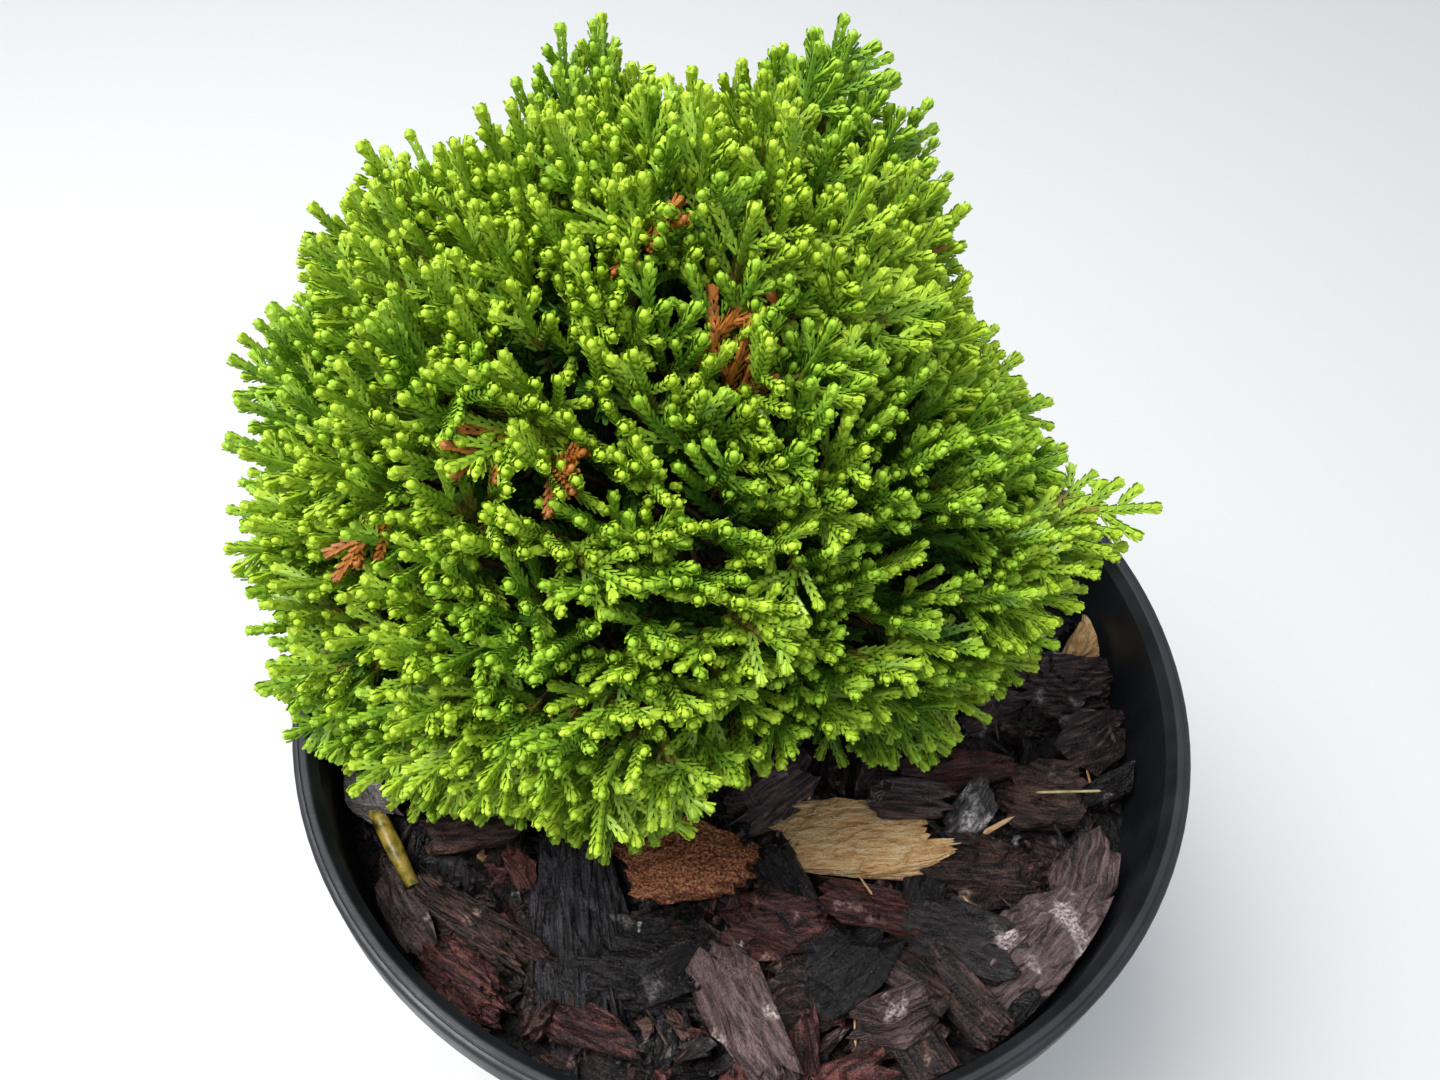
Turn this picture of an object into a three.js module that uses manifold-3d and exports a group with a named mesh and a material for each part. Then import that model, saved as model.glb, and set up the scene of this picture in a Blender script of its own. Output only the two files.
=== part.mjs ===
// A dwarf hinoki cypress, a mounded conifer with fan-shaped sprays, in a round black nursery pot
// topped with bark chips. Millimetres, +Z up. The origin is the middle of the pot's flat underside,
// -Y is the side that faces the viewer and +X is to the viewer's right.
//
// The crown is a mound of foliage masses round one point, the heart. Each mass owns the cone of
// space that lies nearer to its own heading than to any other's, so no two masses can meet.

import * as THREE from "three";
import { mergeVertices } from "three/addons/utils/BufferGeometryUtils.js";
import Module from "manifold-3d";

const wasm = await Module();
wasm.setup();

// Driving dimensions

// The gap that pieces keep where they meet
const CLEAR = 0.3;

const POT = {
  height: 185,
  rimRadius: 100,
  bodyRadius: 96,
  footRadius: 74,
  footRound: 3,
  wall: 1.8,
  floor: 2.6,
  floorRound: 2,
  bandDepth: 24,
  bandStep: 1,
  bandRise: 2,
  lipWidth: 3.2,
  lipDepth: 9,
  lipRound: 1.2,
  segments: 48,
};
const DRAIN = {
  floorCount: 4,
  floorRadius: 5,
  ringRadius: 40,
  sideCount: 6,
  sideRadius: 4.5,
  sideRise: 8,
  cutLength: 14,
  sides: 8,
};

// Ground level is the top of the potting soil, and the mulch lies on it
const GROUND = POT.height - 40;
const MULCH_TOP = POT.height - 24;
const MULCH_DOME = 2.5;

const HEART = new THREE.Vector3(-14, 12, POT.height + 22);
const TRUNK = {
  foot: new THREE.Vector3(-2, 1, GROUND + CLEAR),
  bow: new THREE.Vector3(3, -2, 0),
  baseRadius: 6.6,
  topRadius: 3.6,
  flare: 0.75,
  flareHeight: 4.7,
  lobes: 4,
  lobeDepth: 0.12,
  aboveHeart: 12,
  sides: 12,
  rings: 9,
};
const BOUGH = {
  rootRadius: 2.2,
  tipRadius: 1.4,
  endShare: 0.4,
  kneeShare: 0.55,
  arriveShare: 0.2,
  forkShare: 1.4,
  sag: 3,
  sides: 5,
  rings: 4,
};

// One row a tier. Headings turn from +X towards +Y and lifts are above the horizontal, both in
// degrees. Reaches run from the heart to the furthest tips. Roots are the heights, from the heart,
// at which the boughs of a tier leave the trunk in turn.
const TIERS = {
  low: {
    headings: [22, 72, 126, 178, 214, 250, 293, 323, 352],
    lifts: [11, 8, 9, 10, -2, -14, -14, -4, 16],
    reaches: [87, 92, 94, 95, 91, 68, 58, 70, 90],
    roots: [-38, -32, -26],
  },
  mid: {
    headings: [0, 50, 100, 148, 194, 242, 300],
    lifts: [34, 36, 34, 34, 34, 30, 30],
    reaches: [78, 80, 92, 98, 96, 88, 76],
    roots: [-20, -15, -11],
  },
  high: {
    headings: [58, 130, 200, 268, 345],
    lifts: [58, 58, 58, 60, 58],
    reaches: [94, 104, 101, 94, 85],
    roots: [-3, -2, -1],
  },
  lead: {
    headings: [146, 36],
    lifts: [79, 79],
    reaches: [110, 108],
    roots: [0],
  },
};

// Shares are of a mass's own reach
const MASS = {
  coreFrom: 0.44,
  coreTo: 0.74,
  coreBreadth: 0.25,
  coreGap: 1.2,
  stemRadius: 1.5,
  stemShare: 0.63,
  wallGap: 0.35,
  overMulch: 9,
  overRim: 2,
  rimGuard: 12,
};
const FAN = {
  count: 9,
  spread: 30,
  rootShare: 0.58,
  rootSpread: 0.45,
  rounding: 0.09,
  teeth: 3,
  halfAngle: 32,
  edgeShare: 0.9,
  notchShare: 0.76,
  rootWidth: 3,
  thickness: 1.7,
  upright: 0.8,
};
const FIT = { pulls: [1, 0.84, 0.7], widths: [1, 0.75, 0.5], rolls: [0, 35, -35, 75] };

// The larger pieces of bark and wood, as they lie: their middle, length, width, thickness, the
// heading of their long side and how far they tip along it.
const CHIPS = {
  pale_wood_chip: { x: 27, y: -35, length: 37, width: 16, thick: 4, heading: -2, tip: 4 },
  rust_bark_chip: { x: -9, y: -41, length: 21, width: 18, thick: 7, heading: -12, tip: 5 },
  ridged_bark_chip: { x: -36, y: -54, length: 38, width: 15, thick: 7, heading: -78, tip: -4 },
  strip_bark_chip: { x: -54, y: -56, length: 20, width: 7, thick: 6, heading: -31, tip: 3 },
  red_bark_chip: { x: -54, y: -69, length: 16, width: 9, thick: 8, heading: -38, tip: 5 },
  black_bark_chip: { x: -14, y: -63, length: 24, width: 15, thick: 6, heading: -6, tip: -4 },
  grey_bark_chip: { x: 64, y: -55, length: 28, width: 16, thick: 7, heading: 47, tip: 8 },
  block_bark_chip: { x: 55, y: -37, length: 20, width: 13, thick: 9, heading: -6, tip: -4 },
  plum_bark_chip: { x: 79, y: 11, length: 18, width: 14, thick: 8, heading: 4, tip: 5 },
  crumb_bark_chip: { x: 15, y: -55, length: 17, width: 12, thick: 7, heading: -10, tip: 6 },
};
const LARGE_CHIP_SINK = 0.45;
const SMALL_CHIPS = {
  count: 30,
  length: [11, 22],
  width: [7, 12],
  thick: [5, 8],
  tip: [-12, 12],
  edgeGap: 14,
  sink: 0.55,
};

const GOLDEN_ANGLE = Math.PI * (3 - Math.sqrt(5));
const UP = new THREE.Vector3(0, 0, 1);
const radians = THREE.MathUtils.degToRad;

// Helpers

// A share from 0 to 1 that looks random and is the same every time for the same two numbers
function chance(row, column) {
  const wave = Math.sin(row * 12.9898 + column * 78.233) * 43758.5453;
  return wave - Math.floor(wave);
}

function between([low, high], share) {
  return low + (high - low) * share;
}

// A height's value on a line through [height, value] stations
function along(stations, height) {
  const next = stations.findIndex(([station]) => station >= height);
  if (next <= 0) return stations[0][1];
  const [low, high] = [stations[next - 1], stations[next]];
  return between([low[1], high[1]], (height - low[0]) / (high[0] - low[0]));
}

function material(color, roughness) {
  return new THREE.MeshStandardMaterial({ color, roughness, metalness: 0 });
}

function solidOf(geometry) {
  const loose = geometry.index ? geometry.toNonIndexed() : geometry;
  const bare = new THREE.BufferGeometry().setAttribute("position", loose.getAttribute("position"));
  const merged = mergeVertices(bare, 1e-4);
  return new wasm.Manifold(
    new wasm.Mesh({
      numProp: 3,
      vertProperties: merged.getAttribute("position").array,
      triVerts: new Uint32Array(merged.index.array),
    }),
  );
}

function geometryOf(solid) {
  const mesh = solid.getMesh();
  const places = new Float32Array(mesh.numVert * 3);
  for (let i = 0; i < mesh.numVert; i += 1) {
    places.set(mesh.vertProperties.subarray(i * mesh.numProp, i * mesh.numProp + 3), i * 3);
  }
  const geometry = new THREE.BufferGeometry();
  geometry.setAttribute("position", new THREE.BufferAttribute(places, 3));
  geometry.setIndex(new THREE.BufferAttribute(new Uint32Array(mesh.triVerts), 1));
  geometry.computeVertexNormals();
  return geometry;
}

// A turned solid about +Z from a profile of [radius, height] pairs, from its lowest point on the
// axis outwards, up and back to the axis.
function turned(profile) {
  const points = profile.map(([radius, height]) => new THREE.Vector2(radius, height));
  return new THREE.LatheGeometry(points, POT.segments).rotateX(Math.PI / 2);
}

// A round limb: a cylinder whose rings are laid along a curve
function limb(curve, sides, rings, radiusAt) {
  const geometry = new THREE.CylinderGeometry(1, 1, 1, sides, rings);
  const frames = curve.computeFrenetFrames(rings, false);
  const centres = curve.getPoints(rings);
  const place = geometry.getAttribute("position");
  for (let i = 0; i < place.count; i += 1) {
    const ring = Math.round((place.getY(i) + 0.5) * rings);
    const turn = Math.atan2(place.getZ(i), place.getX(i));
    const radius = radiusAt(ring / rings, turn) * Math.hypot(place.getX(i), place.getZ(i));
    const point = centres[ring].clone();
    point.addScaledVector(frames.normals[ring], radius * Math.cos(turn));
    point.addScaledVector(frames.binormals[ring], -radius * Math.sin(turn));
    place.setXYZ(i, point.x, point.y, point.z);
  }
  return geometry;
}

function add(group, name, geometry, finish) {
  const mesh = new THREE.Mesh(geometry, finish);
  mesh.name = name;
  group.add(mesh);
  return mesh;
}

// The pot: a tapering thin wall, a wider stacking band and a lip, with drain holes in the floor and
// round the foot. The middle of the underside stays whole.

const BAND_FOOT = POT.height - POT.bandDepth;
const BAND_RADIUS = POT.bodyRadius + POT.bandStep;
const WALL_STATIONS = [
  [0, POT.footRadius],
  [BAND_FOOT, POT.bodyRadius],
  [BAND_FOOT + POT.bandRise, BAND_RADIUS],
  [POT.height, BAND_RADIUS],
];

function innerRadius(height) {
  return along(WALL_STATIONS, height) - POT.wall;
}

function potProfile() {
  const { height, rimRadius, lipRound, floor, floorRound, footRound } = POT;
  const lipFoot = height - POT.lipDepth;
  const bandTop = BAND_FOOT + POT.bandRise;
  return [
    [0, 0],
    [along(WALL_STATIONS, 0) - footRound, 0],
    [along(WALL_STATIONS, footRound), footRound],
    [POT.bodyRadius, BAND_FOOT],
    [BAND_RADIUS, bandTop],
    [BAND_RADIUS, lipFoot],
    [rimRadius, lipFoot + lipRound],
    [rimRadius, height - lipRound],
    [rimRadius - lipRound, height],
    [rimRadius - POT.lipWidth, height],
    [innerRadius(height), height - 2 * lipRound],
    [innerRadius(bandTop), bandTop],
    [innerRadius(BAND_FOOT), BAND_FOOT],
    [innerRadius(floor + floorRound), floor + floorRound],
    [innerRadius(floor) - floorRound, floor],
    [0, floor],
  ];
}

function makePot() {
  let pot = solidOf(turned(potProfile()));
  for (let i = 0; i < DRAIN.floorCount; i += 1) {
    const turn = ((i + 0.5) / DRAIN.floorCount) * 2 * Math.PI;
    const radius = DRAIN.floorRadius;
    const hole = new THREE.CylinderGeometry(radius, radius, DRAIN.cutLength, DRAIN.sides);
    hole.rotateX(Math.PI / 2);
    hole.translate(DRAIN.ringRadius * Math.cos(turn), DRAIN.ringRadius * Math.sin(turn), 0);
    pot = pot.subtract(solidOf(hole));
  }
  for (let i = 0; i < DRAIN.sideCount; i += 1) {
    const radius = DRAIN.sideRadius;
    const hole = new THREE.CylinderGeometry(radius, radius, DRAIN.cutLength, DRAIN.sides);
    hole.rotateZ(Math.PI / 2);
    hole.translate(POT.footRadius, 0, DRAIN.sideRise);
    hole.rotateZ((i / DRAIN.sideCount) * 2 * Math.PI);
    pot = pot.subtract(solidOf(hole));
  }
  return geometryOf(pot);
}

// The potting soil fills the pot up to ground level
function makeSoil() {
  const low = POT.floor + CLEAR;
  const chamfer = 2 * POT.floorRound;
  return turned([
    [0, low],
    [innerRadius(low) - chamfer - CLEAR, low],
    [innerRadius(low + chamfer) - CLEAR, low + chamfer],
    [innerRadius(GROUND) - CLEAR, GROUND],
    [0, GROUND],
  ]);
}

// The trunk rises from ground level in a slight bow to its fork, just above the heart

function trunkCurve() {
  const fork = HEART.clone().addScaledVector(UP, TRUNK.aboveHeart);
  const bend = TRUNK.foot.clone().lerp(fork, 0.5).add(TRUNK.bow);
  return new THREE.QuadraticBezierCurve3(TRUNK.foot, bend, fork);
}

// With extra thickness it is the room that other pieces leave for the trunk
function trunkGeometry(extra) {
  const curve = trunkCurve();
  const length = curve.getLength();
  const geometry = limb(curve, TRUNK.sides, TRUNK.rings, (share, turn) => {
    const flare = TRUNK.flare * Math.exp((-share * length) / TRUNK.flareHeight);
    const lobe = 1 + TRUNK.lobeDepth * Math.cos(TRUNK.lobes * turn) * (flare + CLEAR);
    return between([TRUNK.baseRadius, TRUNK.topRadius], share) * (1 + flare) * lobe + extra;
  });
  // The foot is cut level, whatever the lean of the trunk
  const place = geometry.getAttribute("position");
  const footRing = TRUNK.foot.z + length / TRUNK.rings / 2;
  for (let i = 0; i < place.count; i += 1) {
    if (place.getZ(i) < footRing) place.setZ(i, TRUNK.foot.z - Math.min(extra, CLEAR));
  }
  return geometry;
}

// The crown. Everything in it is measured from the heart.

function direction(heading, lift) {
  const turn = radians(heading);
  const rise = radians(lift);
  const level = Math.cos(rise);
  return new THREE.Vector3(level * Math.cos(turn), level * Math.sin(turn), Math.sin(rise));
}

function listMasses() {
  const masses = [];
  for (const [tier, row] of Object.entries(TIERS)) {
    row.headings.forEach((heading, i) => {
      masses.push({
        tier,
        name: `${tier}_${i + 1}`,
        row: masses.length,
        axis: direction(heading, row.lifts[i]),
        reach: row.reaches[i],
        rootHeight: row.roots[i % row.roots.length],
      });
    });
  }
  return masses;
}

const masses = listMasses();

// Two directions square to an axis and to each other
function sideways(axis) {
  const first = UP.clone().cross(axis).normalize();
  return [first, axis.clone().cross(first).normalize()];
}

function trunkPointAt(height) {
  const points = trunkCurve().getPoints(100);
  const gap = (point) => Math.abs(point.z - HEART.z - height);
  return points.reduce((best, point) => (gap(point) < gap(best) ? point : best)).sub(HEART);
}

// A bough leaves the trunk at its own height. The two leaders stand on the fork instead.
function boughCurve(mass) {
  const end = mass.axis.clone().multiplyScalar(mass.reach * BOUGH.endShare);
  if (mass.tier === "lead") {
    const start = trunkCurve().getPoint(1).sub(HEART).addScaledVector(UP, CLEAR);
    const aside = new THREE.Vector3(mass.axis.x, mass.axis.y, 0).normalize();
    start.addScaledVector(aside, BOUGH.rootRadius * BOUGH.forkShare);
    const rise = start.clone().addScaledVector(UP, (end.z - start.z) / 2);
    return new THREE.QuadraticBezierCurve3(start, rise, end);
  }
  const start = trunkPointAt(mass.rootHeight);
  const knee = start.clone().lerp(end, BOUGH.kneeShare).addScaledVector(UP, -BOUGH.sag);
  const arrive = end.clone();
  arrive.addScaledVector(mass.axis, -BOUGH.arriveShare * start.distanceTo(end));
  return new THREE.CubicBezierCurve3(start, knee, arrive, end);
}

function makeBough(mass, roomForTrunk) {
  const bough = limb(boughCurve(mass), BOUGH.sides, BOUGH.rings, (share) =>
    between([BOUGH.rootRadius, BOUGH.tipRadius], share),
  );
  return geometryOf(solidOf(bough).subtract(roomForTrunk));
}

// A mass keeps to its own cone, above the mulch and, further out, above the pot's rim
function inOwnSpace(mass, point, gap) {
  for (const other of masses) {
    if (other === mass) continue;
    const across = mass.axis.clone().sub(other.axis).normalize();
    if (point.dot(across) < gap) return false;
  }
  const fromPotAxis = Math.hypot(point.x + HEART.x, point.y + HEART.y);
  const overRim = fromPotAxis > POT.rimRadius - MASS.rimGuard;
  const lowest = overRim ? POT.height + MASS.overRim : MULCH_TOP + MASS.overMulch;
  return point.z + HEART.z > lowest;
}

// The core is a ball, drawn out along the axis and pressed in where it would leave the cone
function coreOf(mass) {
  const [first, second] = sideways(mass.axis);
  const breadth = mass.reach * MASS.coreBreadth;
  const halfLength = (mass.reach * (MASS.coreTo - MASS.coreFrom)) / 2;
  const centre = mass.axis.clone().multiplyScalar((mass.reach * (MASS.coreFrom + MASS.coreTo)) / 2);
  const geometry = new THREE.IcosahedronGeometry(1, 1);
  const place = geometry.getAttribute("position");
  for (let i = 0; i < place.count; i += 1) {
    const arm = first.clone().multiplyScalar(place.getX(i) * breadth);
    arm.addScaledVector(second, place.getY(i) * breadth);
    arm.addScaledVector(mass.axis, place.getZ(i) * halfLength);
    const point = centre.clone().add(arm);
    for (let share = 0.96; share > 0.2 && !inOwnSpace(mass, point, MASS.coreGap); share -= 0.04) {
      point.copy(centre).addScaledVector(arm, share);
    }
    place.setXYZ(i, point.x, point.y, point.z);
  }
  return solidOf(geometry);
}

// The three-sided stem starts just clear of its bough's tip and runs up inside the core
function stemOf(mass) {
  const start = mass.axis.clone().multiplyScalar(mass.reach * BOUGH.endShare + CLEAR);
  const end = mass.axis.clone().multiplyScalar(mass.reach * MASS.stemShare);
  return solidOf(limb(new THREE.LineCurve3(start, end), 3, 1, () => MASS.stemRadius));
}

// The growth rule: the tips of a mass's fans stand on a sunflower spiral about its axis, at its
// reach from the heart. Each fan spreads to them from inside the core, its face mostly upwards.
// A pull below 1 draws the fan in towards the axis.
function fanPlan(mass, k, pull) {
  const edge = Math.sqrt((k + 0.5) / FAN.count) * pull;
  const lean = radians(FAN.spread) * edge;
  const turn = k * GOLDEN_ANGLE + mass.row;
  const [first, second] = sideways(mass.axis);
  const aside = first.multiplyScalar(Math.cos(turn)).addScaledVector(second, Math.sin(turn));
  const reach = mass.reach * (1 - FAN.rounding * edge * edge * chance(mass.row, k));
  const tip = mass.axis.clone().multiplyScalar(reach * Math.cos(lean));
  tip.addScaledVector(aside, reach * Math.sin(lean));
  const rootReach = mass.reach * FAN.rootShare;
  const root = mass.axis.clone().multiplyScalar(rootReach);
  root.addScaledVector(aside, rootReach * Math.sin(lean) * FAN.rootSpread);
  const heading = tip.clone().sub(root).normalize();
  const face = new THREE.Vector3(chance(mass.row + 31, k) - 0.5, chance(mass.row + 57, k) - 0.5, 0);
  face.addScaledVector(UP, FAN.upright);
  face.addScaledVector(heading, -face.dot(heading)).normalize();
  return { root, heading, face, length: tip.distanceTo(root) };
}

// A fan's outline: teeth on a cockle-shell arc round the root, with notches between them
function fanShape(length, halfAngle) {
  const points = [new THREE.Vector2(-FAN.rootWidth / 2, 0)];
  const last = 2 * FAN.teeth - 2;
  for (let i = 0; i <= last; i += 1) {
    const share = (2 * i) / last - 1;
    const edge = length * (1 - (1 - FAN.edgeShare) * share * share);
    const radius = i % 2 ? edge * FAN.notchShare : edge;
    const turn = share * halfAngle;
    points.push(new THREE.Vector2(radius * Math.sin(turn), radius * Math.cos(turn)));
  }
  points.push(new THREE.Vector2(FAN.rootWidth / 2, 0));
  return new THREE.Shape(points);
}

function fanBlade(plan, face, halfAngle) {
  const settings = { depth: FAN.thickness, bevelEnabled: false };
  const geometry = new THREE.ExtrudeGeometry(fanShape(plan.length, halfAngle), settings);
  geometry.translate(0, 0, -FAN.thickness / 2);
  const across = plan.heading.clone().cross(face);
  const place = new THREE.Matrix4().makeBasis(across, plan.heading, face);
  return geometry.applyMatrix4(place.setPosition(plan.root));
}

function staysInside(mass, geometry) {
  const place = geometry.getAttribute("position");
  for (let i = 0; i < place.count; i += 1) {
    const point = new THREE.Vector3().fromBufferAttribute(place, i);
    if (!inOwnSpace(mass, point, MASS.wallGap)) return false;
  }
  return true;
}

// A fan that would leave the cone is rolled edge on to the wall, narrowed, or drawn in towards the
// axis, and is left out where none of these keeps it inside.
function fittedFan(mass, k) {
  for (const pull of FIT.pulls) {
    const plan = fanPlan(mass, k, pull);
    for (const width of FIT.widths) {
      for (const roll of FIT.rolls) {
        const face = plan.face.clone().applyAxisAngle(plan.heading, radians(roll));
        const blade = fanBlade(plan, face, radians(FAN.halfAngle) * width);
        if (staysInside(mass, blade)) return blade;
      }
    }
  }
  return null;
}

function makeMass(mass) {
  let whole = coreOf(mass).add(stemOf(mass));
  for (let k = 0; k < FAN.count; k += 1) {
    const blade = fittedFan(mass, k);
    if (blade) whole = whole.add(solidOf(blade));
  }
  return geometryOf(whole);
}

// The mulch: a bed of bark with small chips fused into its top, and sockets for the larger ones

function mulchHeight(x, y) {
  const share = Math.hypot(x, y) / POT.rimRadius;
  return MULCH_TOP + MULCH_DOME * (1 - share * share);
}

function chipGeometry(chip, extra) {
  const long = chip.length / 2 + extra;
  const wide = chip.width / 2 + extra;
  const thick = chip.thick + 2 * extra;
  const corners = [
    [-1, -0.7],
    [-0.35, -1],
    [0.8, -0.85],
    [1, 0.1],
    [0.55, 1],
    [-0.75, 0.8],
  ];
  const outline = new THREE.Shape(corners.map(([x, y]) => new THREE.Vector2(x * long, y * wide)));
  const geometry = new THREE.ExtrudeGeometry(outline, { depth: thick, bevelEnabled: false });
  return geometry.translate(0, 0, -thick / 2);
}

// Tipped along its length, then turned to its heading, and sunk into the mulch by a share of itself
function lay(thing, chip, sink) {
  thing.rotation.set(0, -radians(chip.tip), radians(chip.heading), "ZYX");
  thing.position.set(chip.x, chip.y, mulchHeight(chip.x, chip.y) + chip.thick * (0.5 - sink));
  thing.updateMatrix();
  return thing;
}

function laidSolid(chip, extra, sink) {
  const place = lay(new THREE.Object3D(), chip, sink).matrix;
  return solidOf(chipGeometry(chip, extra).applyMatrix4(place));
}

function smallChip(k) {
  const widest = innerRadius(MULCH_TOP) - SMALL_CHIPS.edgeGap;
  const ring = Math.sqrt((k + 0.5) / SMALL_CHIPS.count) * widest;
  const turn = k * GOLDEN_ANGLE;
  return {
    x: ring * Math.cos(turn),
    y: ring * Math.sin(turn),
    length: between(SMALL_CHIPS.length, chance(k, 1)),
    width: between(SMALL_CHIPS.width, chance(k, 2)),
    thick: between(SMALL_CHIPS.thick, chance(k, 3)),
    heading: 360 * chance(k, 4),
    tip: between(SMALL_CHIPS.tip, chance(k, 5)),
  };
}

function makeMulch() {
  const low = GROUND + CLEAR;
  const edge = innerRadius(MULCH_TOP) - CLEAR;
  const shoulder = edge * 0.6;
  let bed = solidOf(
    turned([
      [0, low],
      [innerRadius(low) - CLEAR, low],
      [edge, MULCH_TOP],
      [shoulder, mulchHeight(shoulder, 0)],
      [0, mulchHeight(0, 0)],
    ]),
  );
  const large = Object.values(CHIPS);
  for (let k = 0; k < SMALL_CHIPS.count; k += 1) {
    const chip = smallChip(k);
    const reaches = (other) =>
      Math.hypot(other.x - chip.x, other.y - chip.y) < (other.length + chip.width) / 2;
    if (!large.some(reaches)) bed = bed.add(laidSolid(chip, 0, SMALL_CHIPS.sink));
  }
  for (const chip of large) bed = bed.subtract(laidSolid(chip, CLEAR, LARGE_CHIP_SINK));
  return geometryOf(bed.subtract(solidOf(trunkGeometry(4 * CLEAR))));
}

// Assembly

const finishes = {
  pot: material(0x1c1d20, 0.55),
  soil: material(0x241a14, 0.95),
  mulch: material(0x33231d, 0.8),
  bark: material(0x4a2f27, 0.75),
  paleWood: material(0xb08a55, 0.7),
  limb: material(0x6b4a35, 0.9),
  foliage: material(0x5f9a1c, 0.5),
};

const plant = new THREE.Group();
add(plant, "pot", makePot(), finishes.pot);
add(plant, "potting_soil", makeSoil(), finishes.soil);
add(plant, "bark_mulch", makeMulch(), finishes.mulch);
for (const [name, chip] of Object.entries(CHIPS)) {
  const finish = name.startsWith("pale") ? finishes.paleWood : finishes.bark;
  lay(add(plant, name, chipGeometry(chip, 0), finish), chip, LARGE_CHIP_SINK);
}
add(plant, "trunk", trunkGeometry(0), finishes.limb);

const crown = new THREE.Group();
crown.position.copy(HEART);
plant.add(crown);
const roomForTrunk = solidOf(trunkGeometry(CLEAR).translate(-HEART.x, -HEART.y, -HEART.z));
for (const mass of masses) {
  add(crown, `bough_${mass.name}`, makeBough(mass, roomForTrunk), finishes.limb);
  add(crown, `foliage_${mass.name}`, makeMass(mass), finishes.foliage);
}

export default plant;
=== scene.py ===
# %% [markdown]
# # A mounded dwarf cypress in a nursery pot
# The real plant is a dense mound of cockle-shell sprays on short boughs, in a black plastic pot that
# is topped with wet bark chips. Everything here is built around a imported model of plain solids, so
# the first cell loads those solids and keeps the box that they fill.

# %% Load the plain solids
import math
import random

import bmesh
import bpy
import numpy as np
from mathutils import Matrix, Vector, noise


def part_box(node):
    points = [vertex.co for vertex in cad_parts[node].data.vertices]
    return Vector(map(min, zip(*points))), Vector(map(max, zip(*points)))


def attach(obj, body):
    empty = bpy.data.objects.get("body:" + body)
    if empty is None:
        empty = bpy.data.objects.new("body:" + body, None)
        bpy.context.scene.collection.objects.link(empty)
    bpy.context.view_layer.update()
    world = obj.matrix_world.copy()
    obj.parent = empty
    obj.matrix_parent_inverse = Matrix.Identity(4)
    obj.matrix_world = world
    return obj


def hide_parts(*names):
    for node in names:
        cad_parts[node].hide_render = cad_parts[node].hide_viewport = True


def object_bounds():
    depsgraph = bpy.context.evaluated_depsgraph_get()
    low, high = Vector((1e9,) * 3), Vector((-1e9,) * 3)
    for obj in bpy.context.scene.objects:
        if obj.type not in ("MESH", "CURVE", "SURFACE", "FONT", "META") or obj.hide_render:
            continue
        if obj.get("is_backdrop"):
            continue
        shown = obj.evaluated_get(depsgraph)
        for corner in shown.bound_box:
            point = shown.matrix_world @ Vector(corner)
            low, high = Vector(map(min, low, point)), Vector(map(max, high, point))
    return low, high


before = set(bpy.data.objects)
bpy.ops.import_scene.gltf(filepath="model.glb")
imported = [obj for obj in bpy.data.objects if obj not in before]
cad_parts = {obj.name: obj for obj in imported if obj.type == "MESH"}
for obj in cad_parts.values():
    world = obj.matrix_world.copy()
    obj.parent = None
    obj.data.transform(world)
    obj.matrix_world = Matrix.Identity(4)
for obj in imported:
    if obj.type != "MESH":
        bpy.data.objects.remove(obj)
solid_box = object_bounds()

MM = 0.001
print("solids:", len(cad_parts), "box:", [round(v / MM) for v in (solid_box[1] - solid_box[0])])

# %% [markdown]
# ## The camera
# The photograph was taken from above and in front with a wide lens, close to the plant, so the rim
# opens out towards the viewer. A camera is described by where it is, how far it looks down and how
# much it rolls. Its lens and sensor width set the angle of view.

# %% Camera
CAMERA_PLACE = Vector((-7.6, -145.6, 404.9)) * MM
CAMERA_DOWN = math.radians(50.83)
CAMERA_ROLL = math.radians(3.76)
LENS_LENGTH = 28.75
SENSOR_WIDTH = 36

bpy.ops.object.select_all(action="DESELECT")
bpy.ops.object.camera_add()
camera = bpy.context.object
level_to_down = Matrix.Rotation(math.pi / 2 - CAMERA_DOWN, 4, "X")
camera.matrix_world = Matrix.Translation(CAMERA_PLACE) @ level_to_down @ Matrix.Rotation(CAMERA_ROLL, 4, "Z")
camera.data.lens = LENS_LENGTH
camera.data.sensor_width = SENSOR_WIDTH
camera.data.clip_start = 0.01
bpy.context.scene.camera = camera
print("camera height", round(CAMERA_PLACE.z / MM), "mm")

# %% [markdown]
# ## Light and floor
# An overcast sky lights the plant softly from everywhere, a little more from above. A grey world
# gives the even part, and one large softbox overhead gives the wet leaves their small glints. The
# floor is a plain pale sheet, marked as stage because it is no part of the object.

# %% Colours
def paint(red, green, blue):
    """A colour as a screen shows it, 0 to 255, turned into the light values that a shader wants."""
    shares = [channel / 255 for channel in (red, green, blue)]
    light = [s / 12.92 if s <= 0.04045 else ((s + 0.055) / 1.055) ** 2.4 for s in shares]
    return (*light, 1.0)


# %% Sky and softbox
SKY_STRENGTH = 0.85
SOFTBOX_SIZE = 0.6
SOFTBOX_POWER = 19
SOFTBOX_PLACE = Vector((-0.45, -0.1, 1.25))
SOFTBOX_TARGET = Vector((0, 0, 0.2))

scene = bpy.context.scene
scene.view_settings.view_transform = "Standard"
scene.world = bpy.data.worlds.new("overcast")
scene.world.use_nodes = True
sky = scene.world.node_tree.nodes["Background"]
sky.inputs["Color"].default_value = paint(224, 232, 242)
sky.inputs["Strength"].default_value = SKY_STRENGTH

bpy.ops.object.light_add(type="AREA", location=SOFTBOX_PLACE)
softbox = bpy.context.object
softbox.rotation_euler = (SOFTBOX_TARGET - SOFTBOX_PLACE).to_track_quat("-Z", "Y").to_euler()
softbox.data.size = SOFTBOX_SIZE
softbox.data.energy = SOFTBOX_POWER


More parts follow.
